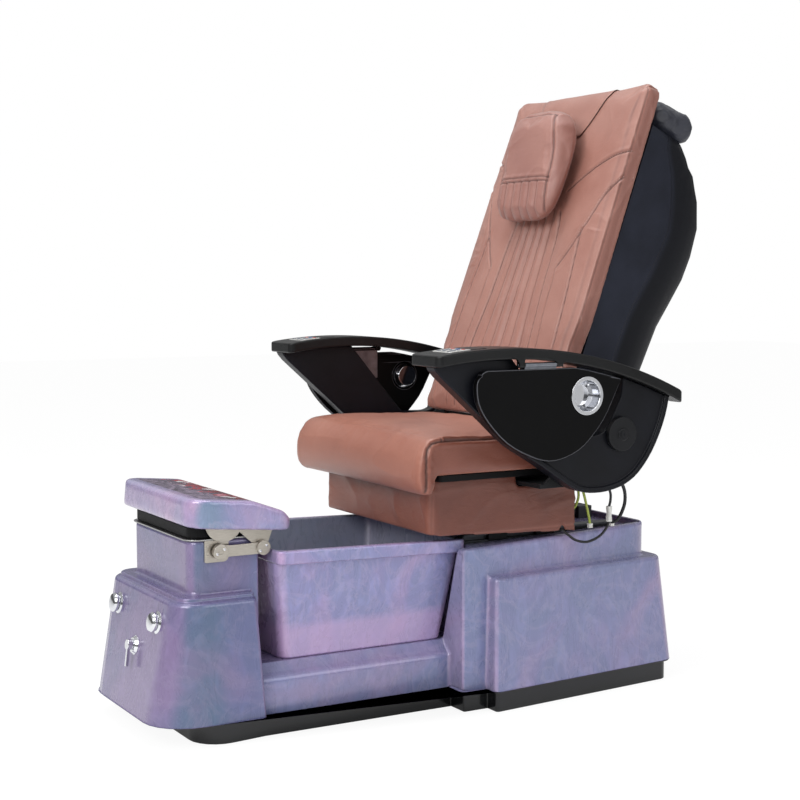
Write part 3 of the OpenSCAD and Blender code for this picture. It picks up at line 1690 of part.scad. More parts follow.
module left_arm_body() { color("#121316") arm_body(); }
module left_arm_rail() { color("#0e0f11") arm_rail(); }
module left_keypad() { color("#c8cacd") keypad(); }
module left_pivot_bolt() { color("#1d1f23") pivot_bolt(); }
module left_tray() { color("#101113") tray(); }
module left_cup_holder() { color("#d5d8dd") cup_holder(); }
module left_tray_hinge() { color("#c9ccd1") tray_hinge(); }
module right_arm_body() { color("#121316") mirror([1, 0, 0]) arm_body(); }
module right_arm_rail() { color("#0e0f11") mirror([1, 0, 0]) arm_rail(); }
module right_keypad() { color("#c8cacd") mirror([1, 0, 0]) keypad(); }
module right_pivot_bolt() { color("#1d1f23") mirror([1, 0, 0]) pivot_bolt(); }
module right_tray() { color("#101113") mirror([1, 0, 0]) tray(); }
module right_cup_holder() { color("#d5d8dd") mirror([1, 0, 0]) cup_holder(); }
module right_tray_hinge() { color("#c9ccd1") mirror([1, 0, 0]) tray_hinge(); }

plinth();
base_shell();
base_frame();
tub();
drain_fitting();
drain_pump();
drain_pipe();
jet_motor();
jet_cover();
jet_impeller();
valve_body();
valve_collars();
fill_spout();
hot_knob();
cold_knob();
drain_lever();
drain_stopper();
pedestal_plate();
rest_pad();
hinge_brackets();
hinge_arms();
footrest();
footrest_plates();
slide_rails();
slide_motor();
control_box();
seat_frame();
slide_blocks();
slide_rod();
seat_board();
seat_cushion();
seat_skirt();
arm_brackets();
recline_motor();
recline_rod();
seat_cable();
arm_cables();
cable_plugs();
back_frame();
backrest_pad();
back_shell();
back_roll();
head_pillow();
pillow_flap();
massage_carriage();
massage_rollers();
left_arm_body();
left_arm_rail();
left_keypad();
left_pivot_bolt();
left_tray();
left_cup_holder();
left_tray_hinge();
right_arm_body();
right_arm_rail();
right_keypad();
right_pivot_bolt();
right_tray();
right_cup_holder();
right_tray_hinge();
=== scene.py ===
import json
import math

import bmesh
import bpy
import numpy as np
from mathutils import Matrix, Vector, noise
from mathutils.bvhtree import BVHTree


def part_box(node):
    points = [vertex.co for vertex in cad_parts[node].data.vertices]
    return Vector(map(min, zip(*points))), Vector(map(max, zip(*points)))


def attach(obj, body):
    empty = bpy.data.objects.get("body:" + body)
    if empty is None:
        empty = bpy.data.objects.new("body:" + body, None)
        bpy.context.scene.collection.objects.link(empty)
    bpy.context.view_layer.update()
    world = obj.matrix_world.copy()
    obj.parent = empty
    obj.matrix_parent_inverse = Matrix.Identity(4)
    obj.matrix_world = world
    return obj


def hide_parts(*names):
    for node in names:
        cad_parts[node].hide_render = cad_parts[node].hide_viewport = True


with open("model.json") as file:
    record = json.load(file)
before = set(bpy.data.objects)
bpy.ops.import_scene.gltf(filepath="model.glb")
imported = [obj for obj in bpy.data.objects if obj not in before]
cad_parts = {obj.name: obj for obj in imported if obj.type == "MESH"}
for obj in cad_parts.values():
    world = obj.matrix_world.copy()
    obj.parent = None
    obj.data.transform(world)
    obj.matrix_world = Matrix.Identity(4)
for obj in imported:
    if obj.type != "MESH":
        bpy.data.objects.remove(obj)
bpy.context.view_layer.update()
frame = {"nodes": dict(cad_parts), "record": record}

scene = bpy.context.scene
scene.view_settings.view_transform = "Standard"


# --- Camera ---
# Eye height of a person sitting across the room, on the chair's left front side.
def assign(thing, **settings):
    """Sets several settings of a thing, and returns it."""
    for key, value in settings.items():
        setattr(thing, key, value)
    return thing


def linked(thing):
    """Puts a new object into the scene, and returns it."""
    scene.collection.objects.link(thing)
    return thing


eye = assign(bpy.data.cameras.new("camera"), lens=70.56, sensor_width=36.0)
camera = linked(bpy.data.objects.new("camera", eye))
azimuth, drop = math.radians(60.08), math.radians(4.61)
back = Vector((math.sin(azimuth) * math.cos(drop), -math.cos(azimuth) * math.cos(drop), math.sin(drop)))
camera.location = (3.1320, -1.7665, 0.9687)
camera.rotation_euler = (-back).to_track_quat("-Z", "Y").to_euler()
scene.camera = camera

# --- Cables behind the seat ---
# Loose wires hang out of the back of the skirt, and the seat's own cable loops over the housing's
# side to an in-line plug. Black and yellow-green PVC, 6 and 8 mm thick.
MM = 0.001


def smooth_route(points, steps=4):
    """The points in metres of an even curve through a cable's points in millimetres."""
    p = [Vector(q) / 1000 for q in points]
    p = [2 * p[0] - p[1]] + p + [2 * p[-1] - p[-2]]
    route = []
    for i in range(1, len(p) - 2):
        a, b, c, d = p[i - 1:i + 3]
        for k in range(steps):
            t = k / steps
            route.append(0.5 * (2 * b + (c - a) * t + (2 * a - 5 * b + 4 * c - d) * t ** 2
                                + (3 * b - a - 3 * c + d) * t ** 3))
    return route + [p[-2]]


def colour(value):
    """A shader colour from a share of white, or from the three values of 0 to 255 on a screen."""
    if isinstance(value, (int, float)):
        return (value, value, value, 1.0)
    shares = [c / 255 for c in value]
    return (*[c / 12.92 if c <= 0.04045 else ((c + 0.055) / 1.055) ** 2.4 for c in shares], 1.0)


class Graph:
    """The nodes of a material, a group or the world, with a short call for each kind in use."""

    def __init__(self, tree):
        self.tree = tree
        self.shader = tree.nodes.get("Principled BSDF")

    def set(self, node, inputs):
        """Gives a node's inputs their values or links, and returns the node."""
        for key, value in inputs.items():
            if isinstance(value, bpy.types.NodeSocket):
                self.tree.links.new(value, node.inputs[key])
            else:
                node.inputs[key].default_value = value
        return node

    def put(self, kind, inputs=None, **settings):
        """Makes a node, and returns its outputs."""
        return self.set(assign(self.tree.nodes.new("ShaderNode" + kind), **settings), inputs or {}).outputs

    def math(self, operation, a, b=0.0, clamp=False):
        return self.put("Math", {0: a, 1: b}, operation=operation, use_clamp=clamp)[0]

    def times(self, value, *factors):
        for factor in factors:
            value = self.math("MULTIPLY", value, factor)
        return value

    def vector(self, operation, a, b=(0.0, 0.0, 0.0)):
        made = self.put("VectorMath", {0: a, 1: b}, operation=operation)
        return made["Value" if operation == "DOT_PRODUCT" else "Vector"]

    def place(self, kind="Object"):
        return self.put("TexCoord")[kind]

    def part(self, vector, axis):
        return self.put("SeparateXYZ", {0: vector})[axis]

    def step(self, value, start, end, curve="LINEAR"):
        """From 0 where the value is at the start to 1 where it's at the end."""
        return self.put("MapRange", {"Value": value, "From Min": start, "From Max": end}, interpolation_type=curve)[0]

    def stretched(self, vector, scale, turn=(0.0, 0.0, 0.0)):
        return self.put("Mapping", {"Vector": vector, "Rotation": turn, "Scale": scale})[0]

    def noise(self, vector, scale, detail, out="Fac", **more):
        return self.put("TexNoise", {"Vector": vector, "Scale": scale, "Detail": detail, **more})[out]

    def warped(self, vector, scale, share):
        """A place that noise moves a little."""
        return self.put("Mix", {4: vector, 5: self.noise(vector, scale, 2.0, "Color"), 0: share}, data_type="VECTOR")[1]

    def bump(self, height, strength, distance, under=None, invert=False):
        inputs = {"Height": height, "Strength": strength, "Distance": distance}
        return self.put("Bump", {**inputs, "Normal": under} if under else inputs, invert=invert)[0]

    def mix(self, share, a, b, mode="MIX"):
        """The mix of two colours, each a link or what colour() takes."""
        a, b = (c if isinstance(c, bpy.types.NodeSocket) else colour(c) for c in (a, b))
        return self.put("Mix", {"Factor": share, 6: a, 7: b}, data_type="RGBA", blend_type=mode)[2]

    def ramp(self, value, *stops, curve="LINEAR"):
        """Colours along a value, from (place, what colour() takes) stops."""
        node = self.set(self.tree.nodes.new("ShaderNodeValToRGB"), {"Fac": value})
        band = assign(node.color_ramp, interpolation=curve)
        while len(band.elements) < len(stops):
            band.elements.new(0.5)
        for element, (place, shade) in zip(band.elements, stops):
            element.position = place
            element.color = colour(shade)
        return node.outputs["Color"]

    def dress(self, group, inputs):
        """Puts a group on the shader, which takes its roughness and bumps, and returns its outputs."""
        made = self.put("Group", inputs, node_tree=group)
        self.set(self.shader, {"Roughness": made["Roughness"], "Normal": made["Normal"]})
        return made

    def painted(self):
        """What gives the shader its colour so far."""
        return self.shader.inputs["Base Color"].links[0].from_socket

    def paint(self, tone):
        self.set(self.shader, {"Base Color": tone})


def material(name, base, **values):
    """A new material and its graph, with the plain values of its shader set."""
    mat = bpy.data.materials.new(name)
    mat.use_nodes = True
    g = Graph(mat.node_tree)
    g.set(g.shader, {"Base Color": colour(base), **{key.replace("_", " "): value for key, value in values.items()}})
    return mat, g


def new_group(name, inputs, outputs):
    """An empty group's graph, its inputs and its last node, from the defaults of its inputs and the
    kinds of its outputs."""
    tree = bpy.data.node_groups.new(name, "ShaderNodeTree")
    for label, value in inputs.items():
        kind = "Float" if isinstance(value, float) else {3: "Vector", 4: "Color"}[len(value)]
        tree.interface.new_socket(label, in_out="INPUT", socket_type="NodeSocket" + kind).default_value = value
    for label, kind in outputs.items():
        tree.interface.new_socket(label, in_out="OUTPUT", socket_type="NodeSocket" + kind)
    return Graph(tree), tree.nodes.new("NodeGroupInput").outputs, tree.nodes.new("NodeGroupOutput")


# Fine uneven skin that moulded plastic, paint and metal have: a roughness that varies and low bumps
g, given, out = new_group(
    "moulded_skin", {"Grain": 400.0, "Roughness": 0.4, "Spread": 0.1, "Depth": 0.1, "Stretch": (1.0, 1.0, 1.0)},
    {"Roughness": "Float", "Mask": "Float", "Normal": "Vector"})
skin = g.tree
fine = g.noise(g.vector("MULTIPLY", g.place(), given["Stretch"]), given["Grain"], 3.0)
blotches = g.math("ADD", g.times(fine, 0.4), g.times(g.noise(g.place(), 9.0, 4.0), 0.6))
offset = g.times(g.math("SUBTRACT", blotches, 0.5), given["Spread"])
g.set(out, {"Roughness": g.math("ADD", given["Roughness"], offset, clamp=True), "Mask": blotches,
            "Normal": g.bump(fine, given["Depth"], 0.0006)})


def skinned(name, dark, light, roughness, grain, spread=0.2, depth=0.2, stretch=(1, 1, 1), **values):
    """A moulded, painted or plated material under the skin, its colour between two close tones."""
    mat, g = material(name, light, **values)
    made = g.dress(skin, {"Grain": grain, "Roughness": roughness, "Spread": spread, "Depth": depth,
                          "Stretch": stretch})
    g.paint(g.ramp(made["Mask"], (0.35, dark), (0.65, light)))
    return mat


def keep(piece, body, replaces=()):
    """Puts a finished piece on its body, in the place of the nodes it stands for."""
    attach(piece, body)
    if replaces:
        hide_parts(*([replaces] if isinstance(replaces, str) else replaces))
    return piece


def piece_from(bm, name, mats, smooth=35):
    """A piece from a bmesh, shaded smooth up to an angle, or flat where the angle is None."""
    mesh = bpy.data.meshes.new(name)
    bm.to_mesh(mesh)
    bm.free()
    for mat in mats:
        mesh.materials.append(mat)
    if smooth is not None:
        mesh.shade_smooth()
        mesh.set_sharp_from_angle(angle=math.radians(smooth))
    return linked(bpy.data.objects.new(name, mesh))


black_cable = skinned("black_cable", (16, 16, 18), (30, 30, 33), 0.5, 900)
earth_cable = skinned("earth_cable", (128, 150, 52), (176, 186, 84), 0.45, 900, depth=0.1)
white_nylon = skinned("white_nylon", (214, 214, 208), (236, 236, 233), 0.45, 500, 0.15, 0.12)


def cable(name, points, radius, mat, replaces):
    """A cable as a round curve along its route."""
    route = smooth_route(points)
    curve = assign(bpy.data.curves.new(name, "CURVE"), dimensions="3D", bevel_depth=radius / 1000,
                   bevel_resolution=3, use_fill_caps=True)
    line = curve.splines.new("POLY")
    line.points.add(len(route) - 1)
    for point, place in zip(line.points, route):
        point.co = (*place, 1.0)
    line.use_smooth = True
    curve.materials.append(mat)
    piece = keep(linked(bpy.data.objects.new(name, curve)), "seat", replaces)


def block(bm, place, size, turn=Matrix()):
    """Adds a block to a bmesh, and returns its points."""
    matrix = Matrix.Translation(place) @ turn @ Matrix.Diagonal((*size, 1))
    return bmesh.ops.create_cube(bm, size=1.0, matrix=matrix)["verts"]


def cable_plug(name, x, y, z, high, wide=10.4, waist=0.86):
    """A white nylon connector round a point, with a waist and a latch on its side (millimetres)."""
    bm = bmesh.new()
    block(bm, (0, 0, 0), (wide, wide, high))
    sides = [e for e in bm.edges if abs(e.verts[0].co.z - e.verts[1].co.z) > high / 2]
    bmesh.ops.subdivide_edges(bm, edges=sides, cuts=4)
    for v in bm.verts:
        if abs(v.co.z) < high * 0.15:
            v.co.x *= waist
            v.co.y *= waist
    bmesh.ops.bevel(bm, geom=bm.edges[:], offset=wide * 0.07, segments=2, profile=0.5, affect="EDGES", material=-1)
    block(bm, (wide * 0.52, 0, high * 0.08), (wide * 0.12, wide * 0.4, high * 0.5))
    bmesh.ops.translate(bm, verts=bm.verts, vec=(x, y, z))
    bmesh.ops.scale(bm, verts=bm.verts, vec=(MM, MM, MM))
    return keep(piece_from(bm, name, [white_nylon], None), "seat", "cable_plugs")


loop_plug = cable_plug("seat_cable_plug", 263.5, 441, 416, 36)
fan_plug = cable_plug("arm_cable_plug_front", 243, 402, 389, 10)
pump_plug = cable_plug("arm_cable_plug_rear", 246, 462, 387, 6)
cable("seat_cable_loop", [
    (236, 316, 404), (243, 317, 388), (250, 320, 385), (259, 328, 376), (266, 345, 363),
    (269, 375, 357), (267, 410, 366), (263, 433, 382), (263, 441, 398)
], 3, black_cable, "seat_cable")
cable("arm_wire_front", [
    (240, 355, 511), (240, 359, 511), (247, 368, 496), (253, 376, 466), (250, 388, 432),
    (245, 398, 406), (243, 402, 394)
], 3, earth_cable, "arm_cables")
cable("arm_wire_short", [
    (228, 355, 508), (228, 359, 508), (238, 366, 488), (243, 369, 462), (238, 366, 440), (231, 361, 428)
], 3, earth_cable, "arm_cables")
cable("arm_wire_plugged", [
    (264, 441, 434), (270, 440, 450), (280, 430, 472), (282, 408, 500), (270, 376, 520),
    (246, 359, 516), (246, 355, 516)
], 3, black_cable, "arm_cables")
cable("arm_wire_rear", [
    (250, 355, 520), (250, 359, 520), (284, 392, 526), (294, 436, 508), (290, 462, 478),
    (280, 474, 446), (264, 478, 418), (252, 474, 398), (246, 462, 390)
], 4, black_cable, "arm_cables")

# --- Floor, light and air ---
# A plain pale studio: a white floor that keeps a soft shadow, three broad soft lamps and an even sky.
# The floor glows for the camera, and half as much in mirrors.
floor_mat, g = material("studio_floor", (244, 244, 244), Roughness=0.9)
seen = g.put("LightPath")
share = g.math("MAXIMUM", g.times(seen["Is Camera Ray"], 0.86), g.times(seen["Is Glossy Ray"], 0.25))
lit = g.put("Emission", {"Color": colour(1.0), "Strength": 1.07})[0]
g.set(g.tree.nodes["Material Output"], {"Surface": g.put("MixShader", {0: share, 1: g.shader.outputs[0], 2: lit})[0]})
bm = bmesh.new()
bmesh.ops.create_grid(bm, x_segments=1, y_segments=1, size=14)
floor = piece_from(bm, "studio_floor", [floor_mat], None)

scene.world = bpy.data.worlds.new("studio_air")
scene.world.use_nodes = True
g = Graph(scene.world.node_tree)
seen = g.put("LightPath")
height = g.times(g.math("ADD", g.part(g.place("Generated"), "Z"), 1.0), 0.5)
walls = g.ramp(height, (0.45, 0.30), (0.52, 0.12), (0.58, 0.14), (0.66, 0.62), (0.82, 0.40), (0.95, 0.7))
mirrored = g.mix(seen["Is Glossy Ray"], 0.50, walls)
open_view = g.math("MAXIMUM", seen["Is Camera Ray"], seen["Is Transmission Ray"])
g.set(g.tree.nodes["Background"], {"Color": colour(1.0), "Strength": g.mix(open_view, mirrored, 1.0)})

for name, place, aim, size, power in (("lamp_front", (1.6, -3.8, 3.0), (0, 0, 0.7), 2.4, 118),
                                      ("lamp_side", (3.8, 1.2, 2.2), (0, 0.1, 0.6), 2.2, 32),
                                      ("lamp_top", (-0.4, -0.4, 4.2), (0, -0.1, 0.5), 2.6, 85)):
    lamp = assign(bpy.data.lights.new(name, "AREA"), shape="SQUARE", size=size, energy=power)
    way = Vector(aim) - Vector(place)
    assign(linked(bpy.data.objects.new(name, lamp)), location=place,
           rotation_euler=way.to_track_quat("-Z", "Y").to_euler())


# --- Plinth ---
# Black moulded kick tray under the whole base, set in from its edge, with a satin skin.
def copy_of(node):
    """A node's mesh as a merged bmesh, with its flat faces whole."""
    bm = bmesh.new()
    bm.from_mesh(frame["nodes"][node].data)
    bmesh.ops.remove_doubles(bm, verts=bm.verts, dist=0.00002)
    bmesh.ops.dissolve_limit(bm, angle_limit=math.radians(0.7), verts=bm.verts, edges=bm.edges)
    return bm


def body_holding(node):
    return next(b for b, nodes in frame["record"]["behaviour"]["bodies"].items() if node in nodes)


def bake_modifiers(piece):
    """Turns a piece's modifiers into its mesh."""
    bpy.context.view_layer.update()
    done = bpy.data.meshes.new_from_object(piece.evaluated_get(bpy.context.evaluated_depsgraph_get()))
    old = piece.data
    piece.modifiers.clear()
    piece.data = done
    bpy.data.meshes.remove(old)


def mended(mesh, solid, limit, tries=5, speck=2e-8, skin_deep=0.02):
    """Draws points that a bevel threw off its solid, or folded over, back to the solid's surface."""
    for _ in range(tries):
        far = {v.index for v in mesh.vertices if solid.find_nearest(v.co)[3] > limit}
        folded = set()
        for face in mesh.polygons:
            _, normal, _, off = solid.find_nearest(face.center)
            if face.area > speck and normal.dot(face.normal) < -0.2 and off < skin_deep:
                folded |= set(face.vertices)
        if not far and not folded:
            return
        bm = bmesh.new()
        bm.from_mesh(mesh)
        bm.verts.ensure_lookup_table()
        for i in sorted(far | folded):
            v = bm.verts[i]
            near = [w.co for w in (e.other_vert(v) for e in v.link_edges) if w.index not in far]
            spot = solid.find_nearest(sum(near, Vector()) / len(near) if near else v.co)[0]
            v.co = spot if i in far else v.co.lerp(spot, 0.7)
        bm.to_mesh(mesh)
        bm.free()


def room_beside(e, way):
    """The least space for a rounding beside an edge: its faces' depth, and the edges that leave it."""
    start = e.verts[0].co
    room = min(max(((v.co - start) - way * (v.co - start).dot(way)).length for v in f.verts) for f in e.link_faces)
    for v in e.verts:
        for other in v.link_edges:
            if other is not e and abs((other.verts[1].co - other.verts[0].co).normalized().dot(way)) < 0.8:
                room = min(room, other.calc_length())
    return room


ROOM_SHARE = 0.42   # of the room beside an edge, which its rounding may take
STRAY_SHARE = 0.35  # of a rounding's width, which a point may lie off the solid


def softened(node, name, mat, width, segments=3, angle=28, smooth=35, bm=None, edge_highlight=None):
    """A moulding in its node's place, with its hard edges rounded to a width in millimetres, or less where their faces
    leave no room. Its rounded edges may have a lighter material of their own, a painted highlight."""
    bm = bm or copy_of(node)
    solid = BVHTree.FromBMesh(bm)
    share = bm.edges.layers.float.new("bevel_weight_edge")
    for e in bm.edges:
        if len(e.link_faces) == 2 and e.calc_face_angle(0) >= math.radians(angle):
            way = (e.verts[1].co - e.verts[0].co).normalized()
            e[share] = min(1.0, ROOM_SHARE * room_beside(e, way) * 1000 / width)
    piece = piece_from(bm, name, [mat, edge_highlight] if edge_highlight else [mat], smooth)
    assign(piece.modifiers.new("Rounding", "BEVEL"), material=1 if edge_highlight else -1, width=width / 1000,
           segments=segments, limit_method="WEIGHT", use_clamp_overlap=False)
    bake_modifiers(piece)
    mended(piece.data, solid, STRAY_SHARE * width / 1000)
    piece.modifiers.new("Flats", "WEIGHTED_NORMAL").keep_sharp = True
    return keep(piece, body_holding(node), node)


plinth_black = skinned("plinth_black", (16, 17, 19), (27, 28, 32), 0.2, 300, 0.14, 0.12,
                       Specular_IOR_Level=0.4, Coat_Weight=0.3)
softened("plinth", "plinth_tray", plinth_black, 2.5)

# --- Pearl base ---
# Fibreglass moulding sprayed with marbled pearl lacquer: mauve from the front, periwinkle from the
# side, teal where it rounds a corner, with brushed streaks and pale wisps under the clear coat.
g, given, out = new_group(
    "pearl_lacquer", {"Scale": 1.0, "Streaks": 0.3, "Front Shade": 0.0, "Tint": colour(1.0)},
    {"Colour": "Color", "Roughness": "Float", "Normal": "Vector"})
pearl = g.tree
where = g.vector("MULTIPLY", g.place(), given["Scale"])
sizes = g.vector("ABSOLUTE", g.place("Normal"))
sideways, lengthways = g.part(sizes, "X"), g.part(sizes, "Y")
up = g.math("MAXIMUM", g.part(g.place("Normal"), "Z"), 0.0)
cloud = g.noise(where, 4.2, 3.0, Roughness=0.55, Distortion=1.0)
feather = g.noise(g.stretched(where, (16.0, 22.0, 9.0), (0.5, 0.0, 0.0)), 1.0, 4.0, Roughness=0.62, Distortion=2.4)
wisp = g.ramp(g.noise(where, 7.0, 4.0, Roughness=0.6, Distortion=2.2), (0.455, 0.0), (0.497, 1.0), (0.54, 0.0))
along = g.part(g.place(), "Y")
teal = g.times(g.step(along, -0.47, -0.535, "SMOOTHSTEP"), g.step(sideways, 0.62, 0.92, "SMOOTHSTEP"), 0.85)
pools = g.ramp(cloud, (0.36, 1.0), (0.5, 0.3), (0.6, 0.0))
blush = g.ramp(cloud, (0.48, 0.0), (0.66, 1.0))
streaks = g.ramp(feather, (0.36, 0.97), (0.53, 1.0), (0.66, 1.25))
calm = g.math("SUBTRACT", 1.0, g.times(up, 0.85))
# This mask darkens the base's front end, which faces the front lamp: painted shade.
front_shade = g.step(along, -0.36, -0.44, "SMOOTHSTEP")
hue = g.mix(g.math("POWER", sideways, 2.0), (147, 130, 162), (124, 129, 172))
for amount, tone, mode in ((g.times(sideways, lengthways, 2.0, 0.75), (168, 140, 178), "MIX"),
                           (teal, (96, 128, 152), "MIX"),
                           (g.times(up, 0.6), (137, 134, 178), "MIX"),
                           (g.times(pools, 0.5), (112, 126, 158), "MIX"),
                           (g.times(blush, 0.6), (156, 138, 172), "MIX"),
                           (g.times(given["Streaks"], calm), streaks, "MULTIPLY"),
                           (g.times(wisp, 0.15), (196, 184, 208), "MIX"),
                           (1.0, given["Tint"], "MULTIPLY"),
                           (g.times(front_shade, given["Front Shade"]), (203, 203, 216), "MULTIPLY")):
    hue = g.mix(amount, hue, tone, mode)
g.set(out, {"Colour": hue, "Roughness": g.math("ADD", g.times(feather, 0.16), 0.2),
            "Normal": g.bump(cloud, 0.1, 0.0008)})


def pearl_material(name, scale=1.0, streaks=0.6, tint=(1.0, 1.0, 1.0), front_shade=0.0):
    """Pearl lacquer under a clear coat, with its graph."""
    mat, g = material(name, (140, 137, 172), Coat_Weight=0.45, Coat_Roughness=0.1, Metallic=0.1)
    g.paint(g.dress(pearl, {"Scale": scale, "Streaks": streaks, "Front Shade": front_shade, "Tint": (*tint, 1.0)})["Colour"])
    return mat, g


# The base's front end is painted darker, as painted shade against the front lamp.
base_pearl = pearl_material("base_pearl", front_shade=1.0)[0]
softened("base_shell", "base_moulding", base_pearl, 8, segments=4)

# --- Foot tub ---
# Pearl basin let into the base, its rim band folded over the edge. Its inside is painted a dim teal grey as painted
# shade from the seat, and its outer side is painted pinker low down as a painted reflection.
tub_pearl, g = pearl_material("tub_pearl", 1.15, 0.75, (1.28, 1.16, 1.18))
outward = g.vector("MULTIPLY", g.vector("ADD", g.place(), (0.0, 0.19, 0.0)), (1.0, 1.0, 0.0))
shaded_inside = g.step(g.vector("DOT_PRODUCT", outward, g.place("Normal")), 0.0, -0.04)
# The lower outer side is painted pinker: a painted reflection.
low_side = g.step(g.part(g.place(), "Z"), 0.235, 0.215)
with_painted_reflection = g.mix(g.times(low_side, 0.55), g.painted(), (196, 166, 206))
# The inside is painted a dim teal grey: painted shade under the seat.
g.paint(g.mix(g.times(shaded_inside, 0.75), with_painted_reflection, (124, 136, 144)))
softened("tub", "foot_basin", tub_pearl, 4, segments=4)

# --- Frame, pump and pipes inside the base ---
# Black painted square tube, a blue pump, a white waste pipe and a whirlpool motor under the tub.
black_paint = skinned("black_paint", (20, 21, 23), (32, 33, 36), 0.48, 500, 0.25, 0.4, Specular_IOR_Level=0.25)
blue_casting = skinned("blue_casting", (38, 72, 116), (56, 96, 146), 0.5, 420, 0.25, 0.4)
white_pipe = skinned("white_pipe", (212, 212, 206), (234, 234, 230), 0.4, 300, depth=0.15)
motor_black = skinned("motor_black", (32, 34, 38), (50, 52, 56), 0.5, 600, depth=0.35)
softened("base_frame", "base_frame_tubes", black_paint, 2)
softened("drain_pump", "drain_pump_case", blue_casting, 1.5)
softened("drain_pipe", "drain_pipe_run", white_pipe, 0.5)
softened("jet_motor", "jet_motor_case", motor_black, 1.5)
softened("jet_cover", "jet_cage", white_pipe, 1.2)
softened("jet_impeller", "jet_blades", blue_casting, 0.4)

# --- Taps and waste ---
# Chrome-plated brass: two domed knobs on their roses, a lever that hangs from its hub, the spout, the
# drain and its plug. The bodies behind the face are bare brass.
chrome = skinned("chrome", (212, 214, 219), (232, 233, 236), 0.09, 60, 0.09, 0.02, Metallic=1.0)
brass = skinned("brass", (168, 132, 72), (194, 160, 98), 0.36, 260, Metallic=1.0)
softened("valve_collars", "tap_roses", chrome, 0.7)
softened("hot_knob", "hot_tap_knob", chrome, 0.9, angle=20, smooth=50)
softened("cold_knob", "cold_tap_knob", chrome, 0.9, angle=20, smooth=50)
softened("drain_lever", "waste_lever", chrome, 0.9)
softened("drain_stopper", "waste_plug", chrome, 0.9)
softened("drain_fitting", "waste_body", chrome, 0.8)
softened("fill_spout", "tub_spout", chrome, 0.8)
softened("valve_body", "tap_bodies", brass, 0.8)

# --- Footrest hinge ---
# Satin nickel steel: a plate on the pedestal, brackets with rivets, links with round discs, and the
# ears under the footrest, each punched from sheet and brushed.
nickel = skinned("satin_nickel", (166, 160, 150), (198, 192, 182), 0.33, 24, depth=0.25, stretch=(30, 3, 30),
                 Metallic=1.0)
steel = skinned("brushed_steel", (160, 160, 158), (194, 194, 192), 0.32, 24, depth=0.25, stretch=(4, 30, 30),
                Metallic=1.0)
softened("pedestal_plate", "pedestal_top_plate", steel, 0.7)
softened("hinge_brackets", "hinge_side_brackets", nickel, 0.5)
softened("hinge_arms", "hinge_links", nickel, 0.9)
softened("footrest_plates", "footrest_ears", nickel, 0.7)

# Domed rivet heads face outwards on both sides
LINK_FACE, RIVET_RADIUS, RIVET_RISE = 188, 3.0, 1.2
bm = bmesh.new()
for y, z in ((-504, 394), (-488, 403), (-407, 393), (-393, 404)):
    for side in (-1, 1):
        head = bmesh.ops.create_uvsphere(bm, u_segments=12, v_segments=7, radius=RIVET_RADIUS)["verts"]
        bmesh.ops.scale(bm, verts=head, vec=(RIVET_RISE / RIVET_RADIUS, 1, 1))
        bmesh.ops.translate(bm, verts=head, vec=(side * LINK_FACE, y, z))
bmesh.ops.scale(bm, verts=bm.verts, vec=(MM, MM, MM))
keep(piece_from(bm, "hinge_link_rivets", [chrome], 60), "hinge_arms")

# The rest pad is a firm black foam block under a vinyl skin, glued to the plate
pad_black = skinned("rest_pad_black", (11, 11, 12), (18, 18, 20), 0.5, 850, depth=0.5, Specular_IOR_Level=0.15)
softened("rest_pad", "rest_pad_block", pad_black, 5, segments=4)

# --- Footrest ---
# Pearl fibreglass wedge on the hinge, all its edges rounded. The top face, short of its edges, is
# marbled violet, with a print of scattered petals towards the rear.
footrest_pearl, g = pearl_material("footrest_pearl", 1.2, 0.6, (1.30, 1.20, 1.16))
STEEPEST = 0.80  # least upward share of the normal on the panel
inside = g.math("GREATER_THAN", g.part(g.place("Normal"), "Z"), STEEPEST)
for axis, middle, half in (("X", 0.0, 0.184), ("Y", -0.452, 0.088)):
    off = g.math("ABSOLUTE", g.math("SUBTRACT", g.part(g.place(), axis), middle))
    inside = g.times(inside, g.math("LESS_THAN", off, half))
flat = g.stretched(g.place(), (1.0, 1.0, 0.0))
veins = g.noise(flat, 15.0, 5.0, Distortion=2.6)
marble = g.ramp(veins, (0.36, (74, 62, 84)), (0.5, (122, 108, 132)), (0.62, (158, 142, 166)))
# Small round petals in reds and pinks on white, with dark hearts, in loose clusters
petals = g.put("TexVoronoi", {"Vector": g.warped(flat, 40.0, 0.02), "Scale": 44.0, "Randomness": 0.9})
tint = g.ramp(g.put("SeparateColor", {0: petals["Color"]})["Red"], (0.0, (128, 18, 34)), (0.32, (176, 44, 66)),
              (0.55, (214, 134, 152)), (0.74, (232, 226, 230)), (0.88, (70, 40, 62)), curve="CONSTANT")
tint = g.mix(1.0, tint, g.ramp(petals["Distance"], (0.0, 0.6), (0.4, 1.0)), "MULTIPLY")
tint = g.mix(g.math("LESS_THAN", petals["Distance"], 0.14), tint, (34, 22, 30))
rearward = g.step(g.part(g.place(), "Y"), -0.515, -0.44)
spread = g.math("ADD", rearward, g.times(g.math("SUBTRACT", veins, 0.5), 2.4))
panel = g.mix(g.math("GREATER_THAN", spread, 0.62), marble, tint)
g.paint(g.mix(inside, g.painted(), panel))


def remeshed(node, name, mats, voxel):
    """A piece from a node's solid, remeshed in small squares by a modifier."""
    bm = copy_of(node)
    bmesh.ops.triangulate(bm, faces=bm.faces)
    piece = piece_from(bm, name, mats, 180)
    assign(piece.modifiers.new("Even", "REMESH"), mode="VOXEL", voxel_size=voxel, use_smooth_shade=True)
    return piece


wedge = remeshed("footrest", "footrest_wedge", [footrest_pearl], 0.0034)
assign(wedge.modifiers.new("Rounding", "SMOOTH"), iterations=26, factor=0.5)
keep(wedge, body_holding("footrest"), "footrest")

